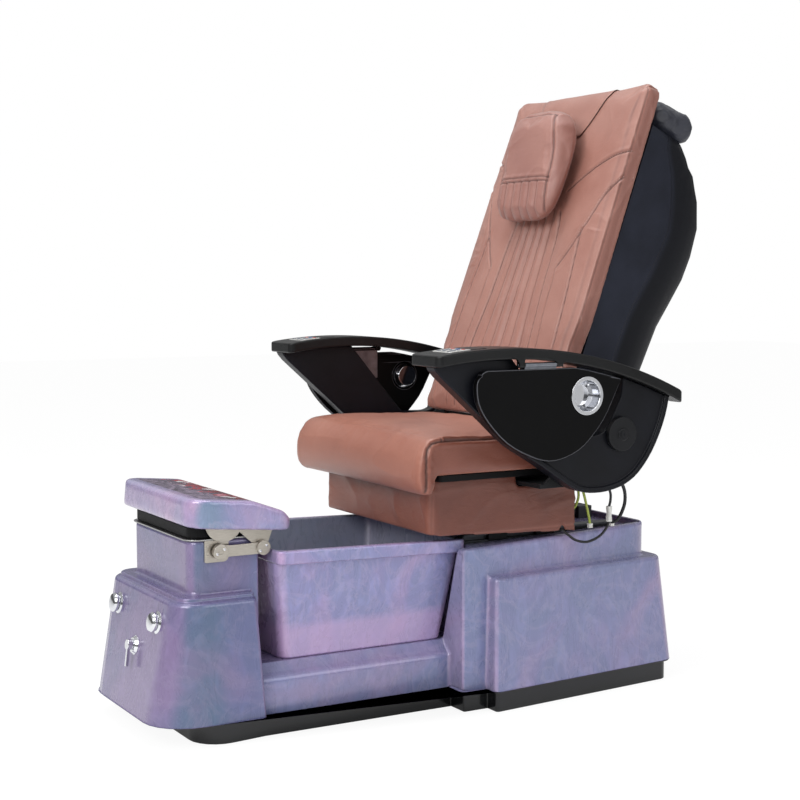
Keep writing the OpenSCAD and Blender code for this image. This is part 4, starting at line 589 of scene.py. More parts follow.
# --- Seat slide and frame ---
# Steel rails with bearing blocks, a welded and black painted seat frame, actuators in black cases,
# and a grey control box on the housing's rear.
grey_case = skinned("grey_case", (84, 88, 95), (106, 110, 117), 0.5, 800, depth=0.4)
oiled_steel = skinned("oiled_steel", (56, 58, 62), (84, 86, 90), 0.42, 60, depth=0.25, Metallic=0.8)
board_black = skinned("board_black", (12, 12, 13), (20, 20, 22), 0.6, 500, depth=0.4, Specular_IOR_Level=0.15)
softened("slide_rails", "slide_rail_pair", oiled_steel, 0.6)
softened("slide_blocks", "slide_bearings", black_paint, 1.2)
softened("slide_rod", "slide_screw", steel, 0.4)
softened("slide_motor", "slide_actuator", motor_black, 1.5)
softened("control_box", "control_case", grey_case, 2.5)
softened("seat_frame", "seat_frame_weldment", black_paint, 1.0)
softened("arm_brackets", "arm_pivot_brackets", black_paint, 1.0)
softened("recline_motor", "recline_actuator", motor_black, 1.2)
softened("recline_rod", "recline_push_rod", steel, 0.8)
softened("seat_board", "seat_base_board", board_black, 2)

# --- Leather ---
# Pinkish-brown pigmented hide with a pebbled grain, soft creases and darker, tighter seams.
g, given, out = new_group(
    "hide_grain", {"Creases": 0.5, "Light": colour(0.5), "Dark": colour(0.3), "Seam": colour(0.1)},
    {"Colour": "Color", "Roughness": "Float", "Normal": "Vector"})
hide = g.tree
where = g.place()
cells = g.put("TexVoronoi", {"Vector": g.warped(where, 140.0, 0.004), "Scale": 620.0}, feature="DISTANCE_TO_EDGE")
pebble = g.ramp(cells["Distance"], (0.0, 0.0), (0.16, 0.85), (0.5, 1.0))
patch = g.noise(where, 7.0, 5.0, Roughness=0.6)
crease = g.noise(g.stretched(where, (22.0, 22.0, 60.0)), 1.0, 4.0, Distortion=1.2)
seam = g.put("Attribute", attribute_name="seam")["Fac"]
tint = g.mix(g.ramp(patch, (0.36, 0.0), (0.64, 1.0)), given["Dark"], given["Light"])
tint = g.mix(0.55, tint, g.ramp(pebble, (0.0, 0.72), (0.7, 1.0)), "MULTIPLY")
rough = g.math("ADD", g.math("ADD", g.times(patch, 0.22), 0.30), g.times(seam, 0.2), clamp=True)
coarse = g.bump(crease, given["Creases"], 0.002)
g.set(out, {"Colour": g.mix(seam, tint, given["Seam"]), "Roughness": rough,
            "Normal": g.bump(pebble, 0.35, 0.00035, coarse)})


def hide_material(name, light, dark, seam, creases=0.35, coat=0.3, sheen=0.12, side_shade=0.0):
    """Pigmented leather in two close tones, with its seams in a third. Side shade is how much duller, darker and
    browner its sides are painted: painted shade on faces the light reaches less."""
    mat, g = material(name, light, Coat_Weight=coat, Coat_Roughness=0.42, Sheen_Weight=sheen, Sheen_Roughness=0.5)
    made = g.dress(hide, {"Creases": creases, "Light": colour(light), "Dark": colour(dark), "Seam": colour(seam)})
    # Side faces are painted darker and browner: painted shade.
    side = g.step(g.math("ABSOLUTE", g.part(g.place("Normal"), "X")), 0.55, 0.9)
    g.paint(g.mix(g.times(side, side_shade), made["Colour"], (205, 180, 170), "MULTIPLY"))
    return mat


seat_hide = hide_material("seat_hide", (168, 109, 90), (156, 96, 78), (70, 36, 28), coat=0.4, sheen=0.06, side_shade=1.0)
back_hide = hide_material("back_hide", (168, 119, 106), (156, 105, 92), (70, 36, 28), side_shade=0.8)
pillow_hide = hide_material("pillow_hide", (162, 114, 103), (151, 102, 92), (72, 38, 31), side_shade=0.8)
skirt_hide = hide_material("skirt_hide", (142, 87, 71), (125, 73, 59), (160, 112, 100), creases=0.7, coat=0.15,
                           sheen=0.05, side_shade=0.8)


# --- Padded pieces ---
# Foam under sewn leather: each is swollen a little from within, then drawn in along its seams.
def rows_of(items, key):
    flat = np.empty(len(items) * 3)
    items.foreach_get(key, flat)
    return flat.reshape(-1, 3)


def read_points(mesh):
    return rows_of(mesh.vertices, "co")


def write_points(mesh, co):
    mesh.vertices.foreach_set("co", np.ascontiguousarray(co).ravel())
    mesh.update()


def share_of(value, start, length):
    """From 0 where a value is at the start to 1 where it's a length further."""
    return np.clip((value - start) / length, 0, 1)


def evenly(piece, times):
    """Smooths a piece's points towards their neighbours' middle."""
    bm = bmesh.new()
    bm.from_mesh(piece.data)
    for _ in range(times):
        bmesh.ops.smooth_vert(bm, verts=bm.verts, factor=0.5, use_axis_x=True, use_axis_y=True, use_axis_z=True)
    bm.to_mesh(piece.data)
    bm.free()


def swollen(node, name, cap, sink, still, voxel=0.006, smooth=4, frames=20):
    """A cushion's plain solid, remeshed and blown up like foam in its cover. Points where still() is
    true stay, no point moves further than cap, and all start sink inside the solid (metres)."""
    piece = remeshed(node, name, [], voxel)
    bake_modifiers(piece)
    evenly(piece, smooth)
    first = read_points(piece.data) - sink * rows_of(piece.data.vertex_normals, "vector")
    write_points(piece.data, first)
    pinned = piece.vertex_groups.new(name="pinned")
    pinned.add([i for i, p in enumerate(first) if still(p)], 1.0, "REPLACE")
    cloth = piece.modifiers.new("Cloth", "CLOTH")
    assign(cloth.settings, quality=6, use_pressure=True, uniform_pressure_force=4.0, tension_stiffness=18,
           compression_stiffness=18, vertex_group_mass="pinned")
    cloth.settings.effector_weights.gravity = 0.0
    cloth.collision_settings.use_collision = False
    assign(cloth.point_cache, frame_start=1, frame_end=frames)
    for step in range(1, frames + 1):
        scene.frame_set(step)
    bake_modifiers(piece)
    scene.frame_set(1)
    moved = read_points(piece.data) - first
    far = np.linalg.norm(moved, axis=1, keepdims=True)
    moved *= np.minimum(1.0, cap / np.maximum(far, 1e-9))
    write_points(piece.data, first + moved)
    evenly(piece, 2)
    piece.vertex_groups.clear()
    assign(piece.modifiers.new("Finer", "SUBSURF"), levels=1, render_levels=1)
    bake_modifiers(piece)
    piece.data.shade_smooth()
    return piece


def away_from(points, line):
    """Each point's distance from a line of points, and how far along it that is."""
    best = np.full(len(points), 1e9)
    along = np.zeros(len(points))
    run = 0.0
    for a, b in zip(np.array(line[:-1], float), np.array(line[1:], float)):
        d = b - a
        size = np.linalg.norm(d)
        t = np.clip((points - a) @ d / size ** 2, 0, 1)
        off = np.linalg.norm(points - (a + t[:, None] * d), axis=1)
        near = off < best
        best[near] = off[near]
        along[near] = run + t[near] * size
        run += size
    return best, along


def curved(points, steps=6):
    """A line of flat points in millimetres, made an even curve."""
    return [(p.x * 1000, p.y * 1000) for p in smooth_route([(a, b, 0) for a, b in points], steps)]


def rounded_corners(flat, middle, reach, radius):
    """Flat places with the corners of their box drawn in to a radius. The box is given by its middle
    and half its sizes, and a place keeps its share of the way from the corner's centre."""
    off = flat - np.array(middle)
    past = (np.abs(off) - (np.array(reach) - radius)) / radius
    corner = (past > 0).all(axis=1)
    far = np.linalg.norm(past[corner], axis=1)
    share = past[corner].max(axis=1) / np.maximum(far, 1e-9)
    off[corner] = np.sign(off[corner]) * (np.array(reach) - radius + past[corner] * share[:, None] * radius)
    return off + np.array(middle)


class Cover:
    """The points of a padded piece while its seams are drawn in, as flat places in millimetres."""

    def __init__(self, piece, flat, outward):
        self.piece = piece
        self.co = read_points(piece.data)
        self.normal = rows_of(piece.data.vertex_normals, "vector")
        self.flat = flat(self.co)
        self.facing = np.clip(outward(self.normal), 0, 1)
        self.seam = np.zeros(len(self.co))
        self.shift = np.zeros(len(self.co))

    def sew(self, line, depth, width, dark=1.0, swell=0.25, pucker=0.0, thread=2.2):
        """A seam: a narrow groove between two soft swells, drawn in at every stitch."""
        off, along = away_from(self.flat, line)
        groove = np.exp(-(off / width) ** 2)
        beside = np.exp(-((off - 2.4 * width) / (1.5 * width)) ** 2)
        pull = 1.0 + pucker * np.sin(along / 21.0 * 2 * math.pi) * np.cos(along / 57.0 * 2 * math.pi + 0.7)
        self.shift += self.facing * depth * (-groove * pull + swell * beside * pull)
        self.seam = np.maximum(self.seam, self.facing * dark * np.exp(-(off / thread) ** 2))

    def crumple(self, scale, depth, mask, stretch=(1, 1, 1), seed=0.0):
        """Soft wrinkles, where the mask of 0 to 1 allows them."""
        for i in np.nonzero(mask > 0.02)[0]:
            p = self.co[i]
            q = Vector((p[0] * stretch[0], p[1] * stretch[1], p[2] * stretch[2])) * scale
            q.z += seed
            fold = 1.0 - 2.0 * abs(noise.noise(q))
            self.shift[i] += depth * mask[i] * (fold ** 3 - 0.35)

    def finish(self, mat):
        mesh = self.piece.data
        write_points(mesh, self.co + self.normal * (self.shift / 1000)[:, None])
        mesh.attributes.new("seam", "FLOAT", "POINT").data.foreach_set("value", self.seam.astype(np.float32))
        mesh.materials.clear()
        mesh.materials.append(mat)
        mesh.shade_smooth()


def surface_of(mesh):
    return BVHTree.FromPolygons([v.co for v in mesh.vertices], [p.vertices for p in mesh.polygons])


# --- Seat cushion ---
# Moulded foam on the board. One leather panel rolls over the front edge, a border strip runs back from
# it along each side above the side panel, and a double seam joins the strip to the roll.
ROLL_BACK = -0.02  # where the front roll ends and the board begins (metres)
STRIP_SEAM = 290   # where the strip meets the top panel (millimetres from the middle)
seat = swollen("seat_cushion", "seat_pad", 0.005, 0.0, lambda p: p[2] < 0.5375 and p[1] > ROLL_BACK)
cover = Cover(seat, lambda co: co[:, 1:] * 1000, lambda n: (np.abs(n[:, 0]) - 0.25) * 3)
x, y, z = cover.co.T
on_board = (z < 0.54) & (y > ROLL_BACK)
cover.facing[on_board] = 0
cover.sew([(300, 611), (-38, 611), (-54, 607), (-65, 596), (-70, 579), (-70, 488)], 4.2, 3.2, pucker=0.3)
cover.flat = cover.co[:, :2] * 1000
for side in (-1, 1):
    cover.facing = share_of(z, 0.609, 0.003)
    for across in (-19, -29):
        cover.sew([(side * (STRIP_SEAM - 1), across), (side * 300, across)], 1.8, 2.2, thread=1.5)
    cover.facing = np.clip((cover.normal[:, 2] - 0.1) * 2, 0, 1) * (y > -0.022)
    cover.sew([(side * STRIP_SEAM, -20), (side * STRIP_SEAM, 300)], 2.0, 2.2, thread=1.6)
front_end = np.exp(-(((y + 0.066) / 0.012) ** 2)) * share_of(np.abs(x), 0.262, 0.02) * (z < 0.60)
cover.crumple(52.0, 2.4, front_end, stretch=(0.5, 0.5, 1.0), seed=3.1)
cover.crumple(9.0, 1.6, share_of(z, 0.60, 0.01) * 0.7, stretch=(1.0, 1.4, 1.0), seed=8.4)
cover.crumple(7.0, 1.4, share_of(-y, 0.02, 0.03) * (np.abs(x) < 0.27), stretch=(0.8, 1.0, 1.6), seed=5.2)
cover.shift += 3.5 * share_of(-y, 0.03, 0.03) * (z < 0.62)
cover.finish(seat_hide)
keep(seat, "seat", "seat_cushion")

# --- Seat skirt ---
# Foam-backed leather panel stapled round the seat frame, slack enough to crease, with a stitched hem.
skirt = remeshed("seat_skirt", "skirt_panel", [], 0.0042)
bake_modifiers(skirt)
evenly(skirt, 4)
plan = read_points(skirt.data)
forward_half = plan[:, 1] < 0.1
plan[forward_half, :2] = rounded_corners(plan[forward_half, :2], (0, 0.169), (0.252, 0.200), 0.026)
write_points(skirt.data, plan)
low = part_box("seat_skirt")[0].z
cover = Cover(skirt, lambda co: np.column_stack([co[:, 0] * 0, co[:, 2] * 1000]), lambda n: np.ones(len(n)))
x, y, z = cover.co.T
mx, my, _ = cover.normal.T
cover.facing = ((x * mx > 0.08) | ((y < 0.02) & (my < -0.3)) | ((y > 0.3485) & (my > 0.4))).astype(float)
hem = low * 1000 + 15
cover.sew([(0, hem), (0, hem + 0.01)], 1.6, 2.2, 0.9, thread=1.6)
cover.sew([(0, hem - 7), (0, hem - 6.99)], 0.8, 1.8, 0.5, thread=1.2)
slack = cover.facing * (share_of(z, low + 0.022, 0.03) * np.clip((0.515 - z) / 0.02, 0, 1))
cover.crumple(6.5, 3.2, slack, stretch=(1.0, 1.0, 2.0), seed=1.7)
cover.crumple(17.0, 0.7, slack, stretch=(1.0, 1.0, 1.5), seed=6.2)
cover.finish(skirt_hide)
keep(skirt, "seat", "seat_skirt")

# --- Arms ---
# Black moulded arm bodies under curved rails, satin over a fine texture. Each turns about a capped
# pivot with a screw in it, and carries a membrane key pad and a flap tray on a chrome hinge.
arm_black = skinned("arm_black", (11, 12, 17), (18, 20, 28), 0.36, 1300, 0.16, 0.3, Specular_IOR_Level=0.22)
rail_black = skinned("rail_black", (10, 11, 12), (17, 18, 20), 0.34, 1500, 0.16, 0.4, Specular_IOR_Level=0.3)
tray_black = skinned("tray_black", (7, 7, 8), (10, 10, 11), 0.42, 900, 0.12, 0.15, Specular_IOR_Level=0.1)
cap_black = skinned("cap_black", (16, 17, 19), (26, 27, 31), 0.4, 900, depth=0.3, Specular_IOR_Level=0.25)
# Lighter black for the trays' rounded edges: a painted highlight along them.
painted_highlight_black = skinned("painted_highlight_black", (58, 59, 64), (84, 85, 91), 0.4, 900, depth=0.15, Specular_IOR_Level=0.4)
key_mats = [skinned(name, dark, light, 0.42, 1100, 0.16) for name, dark, light in (
    ("key_grey", (84, 89, 100), (106, 111, 122)), ("key_red", (152, 44, 41), (182, 62, 57)),
    ("key_blue", (50, 78, 136), (68, 100, 164)))]
satin_chrome = skinned("satin_chrome", (100, 103, 110), (140, 143, 150), 0.3, 60, 0.12, 0.05, Metallic=1.0)
# The pad's silver film covers only its front, and the rest is a black bezel
membrane = skinned("membrane_silver", (176, 176, 174), (202, 202, 199), 0.38, 1100, 0.16, 0.25, Metallic=0.35)
g = Graph(membrane.node_tree)
g.paint(g.mix(g.math("GREATER_THAN", g.part(g.place(), "Y"), -0.014), g.painted(), (17, 18, 20)))


def key_pad_keys(side, long=0.006, high=0.0018):
    """Domed keys of the membrane pad, laid on its curved face in rows of one width and tone."""
    surface = surface_of(frame["nodes"][f"{side}_keypad"].data)
    low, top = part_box(f"{side}_keypad")
    bm = bmesh.new()
    for v, columns, wide, tone in ((0.10, (0.22, 0.5, 0.78), 0.010, 0), (0.22, (0.28, 0.72), 0.016, 0),
                                   (0.34, (0.28, 0.72), 0.016, 0), (0.46, (0.22, 0.78), 0.010, 1),
                                   (0.46, (0.5,), 0.010, 2)):
        for u in columns:
            spot = Vector((low.x + (top.x - low.x) * u, low.y + (top.y - low.y) * v, top.z + 0.02))
            hit, normal, _, _ = surface.ray_cast(spot, Vector((0, 0, -1)))
            turn = normal.to_track_quat("Z", "Y").to_matrix().to_4x4()
            rim = list({e for w in block(bm, hit, (wide, long, high), turn) for e in w.link_edges})
            done = bmesh.ops.bevel(bm, geom=rim, offset=0.0007, segments=2, profile=0.5, affect="EDGES", material=-1)
            for f in {f for w in done["verts"] for f in w.link_faces}:
                f.material_index = tone
    keep(piece_from(bm, f"{side}_keypad_keys", key_mats, 40), f"{side}_arm")


def pivot_screw(side, radius=0.0085, pivot=(0.380, 0.615)):
    """Countersunk screw in the pivot's cap, with a cross of thin bars in darker black for its recess: painted shade."""
    sign = 1 if side == "left" else -1
    face_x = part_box(f"{side}_pivot_bolt")[1 if sign > 0 else 0].x
    bm = bmesh.new()
    bmesh.ops.create_circle(bm, cap_ends=True, segments=32, radius=radius)
    face = bm.faces[:]
    for inset, lift in ((0.0012, 0.0008), (0.0038, 0.0004)):
        bmesh.ops.inset_region(bm, faces=face, thickness=inset, depth=0.0)
        bmesh.ops.translate(bm, verts=list({v for f in face for v in f.verts}), vec=(0, 0, lift))
    # The cross bars are in the darker arm black: painted shade of a cross recess.
    for spin in (0, math.pi / 2):
        bar = block(bm, (0, 0, 0.0011), (0.0078, 0.0016, 0.0008), Matrix.Rotation(spin, 4, "Z"))
        for f in {f for v in bar for f in v.link_faces}:
            f.material_index = 1
    bmesh.ops.rotate(bm, verts=bm.verts, matrix=Matrix.Rotation(sign * math.pi / 2, 3, "Y"))
    bmesh.ops.translate(bm, verts=bm.verts, vec=(face_x, *pivot))
    piece = piece_from(bm, f"{side}_pivot_screw", [cap_black, arm_black], 30)
    keep(piece, body_holding(f"{side}_pivot_bolt"))


def tray_piece(side, radius=0.032, cuts=8):
    """The flap tray, its front top corner drawn to a wide round."""
    bm = copy_of(f"{side}_tray")
    low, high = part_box(f"{side}_tray")
    for k in range(1, cuts):
        for axis, place in ((1, low.y + radius * k / cuts), (2, high.z - radius * k / cuts)):
            co, no = [0, 0, 0], [0, 0, 0]
            co[axis], no[axis] = place, 1
            bmesh.ops.bisect_plane(bm, geom=bm.verts[:] + bm.edges[:] + bm.faces[:], dist=0.00001, plane_co=co,
                                   plane_no=no)
    half = (high - low) / 2
    flat = np.array([[v.co.y, v.co.z] for v in bm.verts])
    front = (flat[:, 0] < low.y + radius + MM) & (flat[:, 1] > high.z - radius - MM)
    flat[front] = rounded_corners(flat[front], (low.y + half.y, low.z + half.z), (half.y, half.z), radius)
    for v, (y, z) in zip(bm.verts, flat):
        v.co.y, v.co.z = y, z
    return bm


for side in ("left", "right"):
    softened(f"{side}_arm_body", f"{side}_arm_side", arm_black, 3.0, angle=32)
    softened(f"{side}_arm_rail", f"{side}_armrest", rail_black, 4.0, segments=4, angle=40)
    softened(f"{side}_keypad", f"{side}_keypad_panel", membrane, 0.8, angle=40)
    key_pad_keys(side)
    softened(f"{side}_pivot_bolt", f"{side}_pivot_cap", cap_black, 1.6)
    pivot_screw(side)
    softened(f"{side}_tray", f"{side}_flap_tray", tray_black, 1.8, angle=32, bm=tray_piece(side), edge_highlight=painted_highlight_black)
    softened(f"{side}_tray_hinge", f"{side}_tray_hinge_leaf", satin_chrome, 0.5)
    softened(f"{side}_cup_holder", f"{side}_cup", chrome, 0.7, angle=20, smooth=50)

# --- Back shell ---
# Two-part moulding behind the back cushion, navy-black with a fine leather-like texture. Its side is drawn to a crease
# and turns inwards behind it, where it is painted darker as painted shade. The crease's depth at each height, from the
# shell's foot to its top, is a curve in the plane of the back.
BACK_PIVOT = (0.0, 0.314, 0.787)
LEAN = math.radians(20.3)
shell_black = skinned("shell_black", (30, 32, 40), (43, 46, 58), 0.48, 820, depth=0.45, Specular_IOR_Level=0.12)
g = Graph(shell_black.node_tree)
from_pivot = g.vector("SUBTRACT", g.place(), BACK_PIVOT)
height = g.vector("DOT_PRODUCT", from_pivot, (0.0, math.sin(LEAN), math.cos(LEAN)))
depth = g.vector("DOT_PRODUCT", from_pivot, (0.0, math.cos(LEAN), -math.sin(LEAN)))
crease_depth = g.ramp(
    g.math("DIVIDE", height, 0.6), (0.0, 0.145), (0.10, 0.139), (0.20, 0.143), (0.31, 0.153), (0.42, 0.171),
    (0.555, 0.186), (0.64, 0.189), (0.75, 0.166), (0.84, 0.144), (0.904, 0.112), (1.0, 0.104), curve="B_SPLINE")
past = g.math("SUBTRACT", depth, crease_depth)
# Behind the crease the shell is painted darker: painted shade where it turns away.
g.paint(g.mix(g.step(past, -0.004, 0.02, "SMOOTHSTEP"), g.painted(), (22, 23, 28)))
grain = g.shader.inputs["Normal"].links[0].from_socket
g.set(g.shader, {"Normal": g.bump(g.step(past, -0.003, 0.003, "SMOOTHSTEP"), 1.0, 0.003, grain, invert=True)})
bm = copy_of("back_shell")
bmesh.ops.triangulate(bm, faces=bm.faces)
bmesh.ops.join_triangles(bm, faces=bm.faces, angle_face_threshold=0.7, angle_shape_threshold=0.7)
keep(piece_from(bm, "shell_moulding", [shell_black], 42), "back", "back_shell")

# The padded vinyl roll over the shell's top is stuffed loosely, so that its cover wrinkles
roll_vinyl = hide_material("roll_vinyl", (40, 43, 56), (31, 33, 43), (14, 15, 19), creases=0.6, coat=0.2, sheen=0.0)
roll = swollen("back_roll", "shell_roll", 0.005, 0.0, lambda p: False, smooth=3)
cover = Cover(roll, lambda co: co[:, [0, 2]] * 1000, lambda n: np.ones(len(n)))
everywhere = np.ones(len(cover.co))
cover.crumple(13.0, 4.2, everywhere, stretch=(2.2, 0.8, 0.8), seed=2.2)
cover.crumple(30.0, 1.6, everywhere, stretch=(1.6, 0.8, 0.8), seed=5.8)
cover.finish(roll_vinyl)
keep(roll, "back", "back_roll")

# --- Back cushion ---
# Foam cushion sewn from leather panels: side wings, a centre with upright channels, a border strip
# round the edge with a double seam. Drawn in the plane of the back, x across and s up from its pivot.
recline = Matrix.Translation(BACK_PIVOT) @ Matrix.Rotation(-LEAN, 4, "X")
forward = (recline.to_3x3() @ Vector((0, 1, 0))).normalized()
to_plane = np.array(recline.inverted())


def in_back(co):
    """Places in the back's own frame: x across, y behind its plane and z up from its pivot."""
    return co @ to_plane[:3, :3].T + to_plane[:3, 3]


def out_of_back(local):
    return (local - to_plane[:3, 3]) @ to_plane[:3, :3]


def in_plane(co):
    return in_back(co)[:, [0, 2]] * 1000


def depth_in_plane(co):
    return in_back(co)[:, 1] * 1000


def facing_forward(n):
    return np.clip(-(n @ to_plane[:3, :3].T)[:, 1] * 1.6, 0, 1)


def off_plane(x, s, y=-60):
    return recline @ Vector((x / 1000, y / 1000, s / 1000))


def stitches(name, piece, line, mat, body, pitch=8, size=(4.2, 0.9, 0.7)):
    """Sewing thread: a row of small lozenges laid on a piece along a line of points in metres."""
    surface = surface_of(piece.data)
    bm = bmesh.new()
    rest = 0.0
    for a, b in zip(line[:-1], line[1:]):
        span = (b - a).length * 1000
        if span < 1e-6:
            continue
        while rest < span:
            p = a.lerp(b, rest / span)
            rest += pitch
            hit, normal, _, _ = surface.ray_cast(p - forward * 0.08, forward, 0.3)
            if hit is None:
                continue
            side = normal.cross((b - a).normalized()).normalized()
            turn = Matrix((side.cross(normal), side, normal)).transposed().to_4x4()
            bmesh.ops.create_icosphere(bm, subdivisions=1, radius=0.0005,
                                       matrix=Matrix.Translation(hit) @ turn @ Matrix.Diagonal((*size, 1)))
        rest -= span
    keep(piece_from(bm, name, [mat], 60), body)


pad = swollen("backrest_pad", "back_pad", 0.005, 0.001, lambda p: depth_in_plane(np.array([p]))[0] > 36, smooth=7)
# The top corners are rounded and stand up a little, the foot comes down to the seat, and the cushion
# widens towards it
CORNER_RADIUS, FOOT_DROP, CORNER_LIFT, WIDENING = 0.036, 0.017, 0.008, 0.026
local = in_back(read_points(pad.data))
upper = local[:, 2] > 0.2
local[np.ix_(upper, [0, 2])] = rounded_corners(local[upper][:, [0, 2]], (0, 0.257), (0.274, 0.407), CORNER_RADIUS)
local[:, 2] -= FOOT_DROP * share_of(-local[:, 2], 0.05, 0.09)
local[:, 2] += CORNER_LIFT * share_of(local[:, 2], 0.52, 0.14) ** 2 * share_of(np.abs(local[:, 0]), 0.13, 0.11)
local[:, 0] *= 1 + WIDENING * share_of(local[:, 2], 0.03, 0.05) * np.clip((0.62 - local[:, 2]) / 0.45, 0, 1)
write_points(pad.data, out_of_back(local))
cover = Cover(pad, in_plane, facing_forward)
wing_lines = []
for m in (-1, 1):
    wing_lines += [
        curved([(m * 300, 505), (m * 210, 472), (m * 145, 436), (m * 92, 398)]),
        curved([(m * 295, 462), (m * 240, 391), (m * 205, 318), (m * 169, 252), (m * 140, 208)]),
        curved([(m * 194, 300), (m * 193, 266), (m * 209, 130), (m * 217, 18), (m * 224, -90)]),
    ]
for line in wing_lines:
    cover.sew(line, 3.6, 3.0, 0.95, pucker=0.1, thread=1.7)
for m in (-1, 1):
    cover.sew([(m * 139, 206), (m * 144, 94), (m * 153, 20), (m * 162, -148)], 1.4, 2.2, 0.6, thread=1.3)
    cover.sew([(m * 86, 345), (m * 98, 271), (m * 105, 142), (m * 120, 19), (m * 128, -148)], 3.2, 3.0, 0.95,
              thread=1.7)
for i in range(-2, 3):
    cover.sew([(i * 29, 350), (i * 35, 142), (i * 40, 19), (i * 43, -148)], 3.6, 7.0, 0.4, swell=0.55, thread=2.4)
front = cover.facing.copy()
x, s = cover.flat.T
low_side = share_of(np.abs(x), 170, 60) * np.clip((120 - s) / 160, 0, 1)
tucks = np.exp(-((np.abs(x) - 232) / 22) ** 2) * share_of(s, 170, 40) * np.clip((350 - s) / 40, 0, 1)
seams_meet = np.exp(-((np.abs(x) - 150) / 18) ** 2 - ((s - 195) / 30) ** 2)
cover.crumple(17.0, 3.0, front * low_side, stretch=(1.6, 1.0, 1.0), seed=4.4)
cover.crumple(30.0, 2.2, front * tucks, stretch=(0.4, 1.0, 1.3), seed=2.9)
cover.crumple(24.0, 1.5, front * seams_meet, seed=6.3)
cover.crumple(6.0, 2.0, front * share_of(s, 380, 80) * 0.7, stretch=(1.0, 1.0, 1.4), seed=7.7)
cover.crumple(8.0, 1.2, front * 0.6, stretch=(1.3, 1.0, 0.8), seed=9.1)
# The border strip is sewn on at the front edge, with a stitched line beside the seam
across = depth_in_plane(cover.co)
front_edge = np.percentile(across, 2)
cover.facing = np.clip((np.abs(cover.normal[:, 0]) - 0.25) * 3, 0, 1)
cover.flat = np.column_stack([across, s])
cover.sew([(front_edge + 7, -170), (front_edge + 7, 680)], 1.6, 2.2, 0.95, swell=0.5, thread=1.6)
cover.sew([(front_edge + 17, -170), (front_edge + 17, 680)], 0.7, 1.8, 0.6, thread=1.3)
cover.crumple(14.0, 1.8, np.clip((np.abs(cover.normal[:, 0]) - 0.6) * 3, 0, 1), stretch=(1.0, 1.0, 0.8), seed=3.7)
cover.finish(back_hide)
keep(pad, "back", "backrest_pad")
thread_tan = skinned("sewing_thread", (180, 148, 140), (206, 176, 168), 0.6, 1500, depth=0.3)
for k, line in enumerate(wing_lines[:2] + wing_lines[3:5]):
    beside = 4.5 if k < 2 else -4.5
    stitches(f"back_wing_stitches_{k}", pad, [off_plane(a + beside, b) for a, b in line], thread_tan, "back")

# --- Head pillow ---
# Stuffed pillow, boxy in front and drawn in behind, with an inset seam up and over its front panel, a
# double seam across and soft channels below that.
pillow = swollen("head_pillow", "pillow", 0.004, 0.0, lambda p: depth_in_plane(np.array([p]))[0] > -14,
                 voxel=0.0055, smooth=3)
PILLOW_MIDDLE, DRAWN_IN, DRAWN_DOWN, TOP_TAPER = 0.442, 0.5, 0.2, 0.13
local = in_back(read_points(pillow.data))
behind = share_of(local[:, 1], -0.064, 0.05) ** 2
local[:, 0] *= 1 - DRAWN_IN * behind
local[:, 2] = PILLOW_MIDDLE + (local[:, 2] - PILLOW_MIDDLE) * (1 - DRAWN_DOWN * behind)
local[:, 0] *= 1 - TOP_TAPER * share_of(local[:, 2], 0.49, 0.09) ** 1.5
write_points(pillow.data, out_of_back(local))
cover = Cover(pillow, in_plane, facing_forward)
for line in [curved([(m * 94, 296), (m * 98, 400), (m * 96, 492), (m * 72, 560)], 4) for m in (-1, 1)] + [
        [(-72, 560), (72, 560)]]:
    cover.sew(line, 2.6, 2.6, 0.95, pucker=0.1, thread=1.5)
cover.sew([(-100, 404), (100, 404)], 2.4, 2.2, 0.9, thread=1.5)
cover.sew([(-100, 395), (100, 395)], 2.0, 2.2, 0.8, thread=1.5)
for x in (-64, -32, 0, 32, 64):
    cover.sew([(x, 393), (x * 1.03, 296)], 2.8, 5.0, 0.3, swell=0.6, thread=2.2)
cover.crumple(9.0, 1.6, cover.facing * 0.8, stretch=(1.3, 1.0, 1.0), seed=1.2)
cover.finish(pillow_hide)
keep(pillow, "back", "head_pillow")


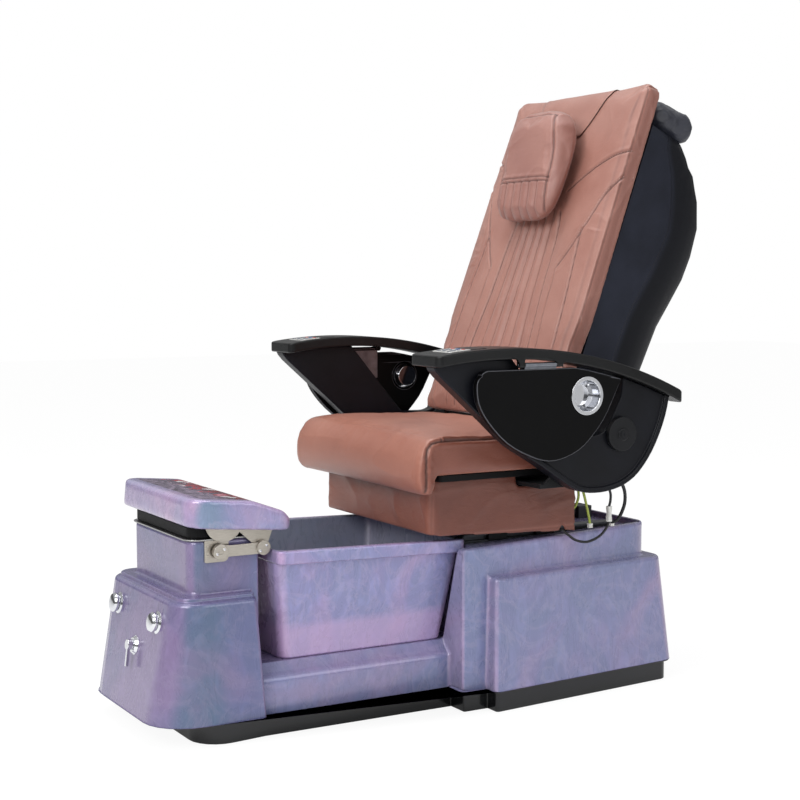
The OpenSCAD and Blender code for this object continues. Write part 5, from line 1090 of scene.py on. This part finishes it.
# The flap that holds the pillow is a single hide, sewn to the pillow's back. It lies on the cushion
# and goes over its top edge, wider there than at the pillow.
def flap_piece(start=536.0, end=640.0, narrow=74, wider=62, flat_share=0.6, over=115, off=0.0007):
    """The flap's grid, cast on the cushion from the start up to the end of its front in millimetres,
    and then over its top by some degrees. Off is how far it lies off the cushion, in metres."""
    surface = surface_of(pad.data)
    bm = bmesh.new()
    bmesh.ops.create_grid(bm, x_segments=28, y_segments=26, size=1.0)
    for v in bm.verts:
        u, w = v.co.x, (v.co.y + 1) / 2
        climb = min(w / flat_share, 1.0)
        turn = max(w - flat_share, 0.0) / (1 - flat_share) * math.radians(over)
        half = narrow + wider * (climb ** 0.75)
        if turn == 0:
            aim = forward
            origin = off_plane(u * half, start + (end - start) * climb, -90)
        else:
            aim = (recline.to_3x3() @ Vector((0, math.cos(turn), -math.sin(turn)))).normalized()
            origin = off_plane(u * half, end, 16) - aim * 0.1
        hit, _, _, _ = surface.ray_cast(origin, aim, 0.3)
        v.co = (hit if hit is not None else origin + aim * 0.076) - aim * off
    for _ in range(3):
        bmesh.ops.smooth_vert(bm, verts=[v for v in bm.verts if not v.is_boundary], factor=0.5, use_axis_x=True,
                              use_axis_y=True, use_axis_z=True)
    bmesh.ops.recalc_face_normals(bm, faces=bm.faces)
    if sum(f.normal.dot(forward) * f.calc_area() for f in bm.faces) > 0:
        bmesh.ops.reverse_faces(bm, faces=bm.faces)
    return bm


flap_mesh = flap_piece()
flap_area = sum(f.calc_area() for f in flap_mesh.faces)
# The strap's cut edge is painted dark: painted shadow along its edge.
painted_shade_edge = hide_material("hide_cut_edge", (62, 34, 28), (48, 26, 21), (40, 22, 18), coat=0.0, sheen=0.0)
flap = piece_from(flap_mesh, "pillow_strap", [back_hide, painted_shade_edge], 60)
assign(flap.modifiers.new("Thickness", "SOLIDIFY"), thickness=0.0022, offset=1.0, material_offset_rim=1)
flap.data.attributes.new("seam", "FLOAT", "POINT")
keep(flap, "back", "pillow_flap")

# --- Back frame and massage unit ---
# Black painted steel frame with channel guides, and the carriage that carries two rubber rollers.
roller_rubber = skinned("roller_rubber", (34, 36, 42), (52, 55, 62), 0.6, 900, depth=0.5)
softened("back_frame", "back_frame_weldment", black_paint, 1.0)
softened("massage_carriage", "massage_carriage_case", motor_black, 2.0)
softened("massage_rollers", "massage_roller_pair", roller_rubber, 3.0)
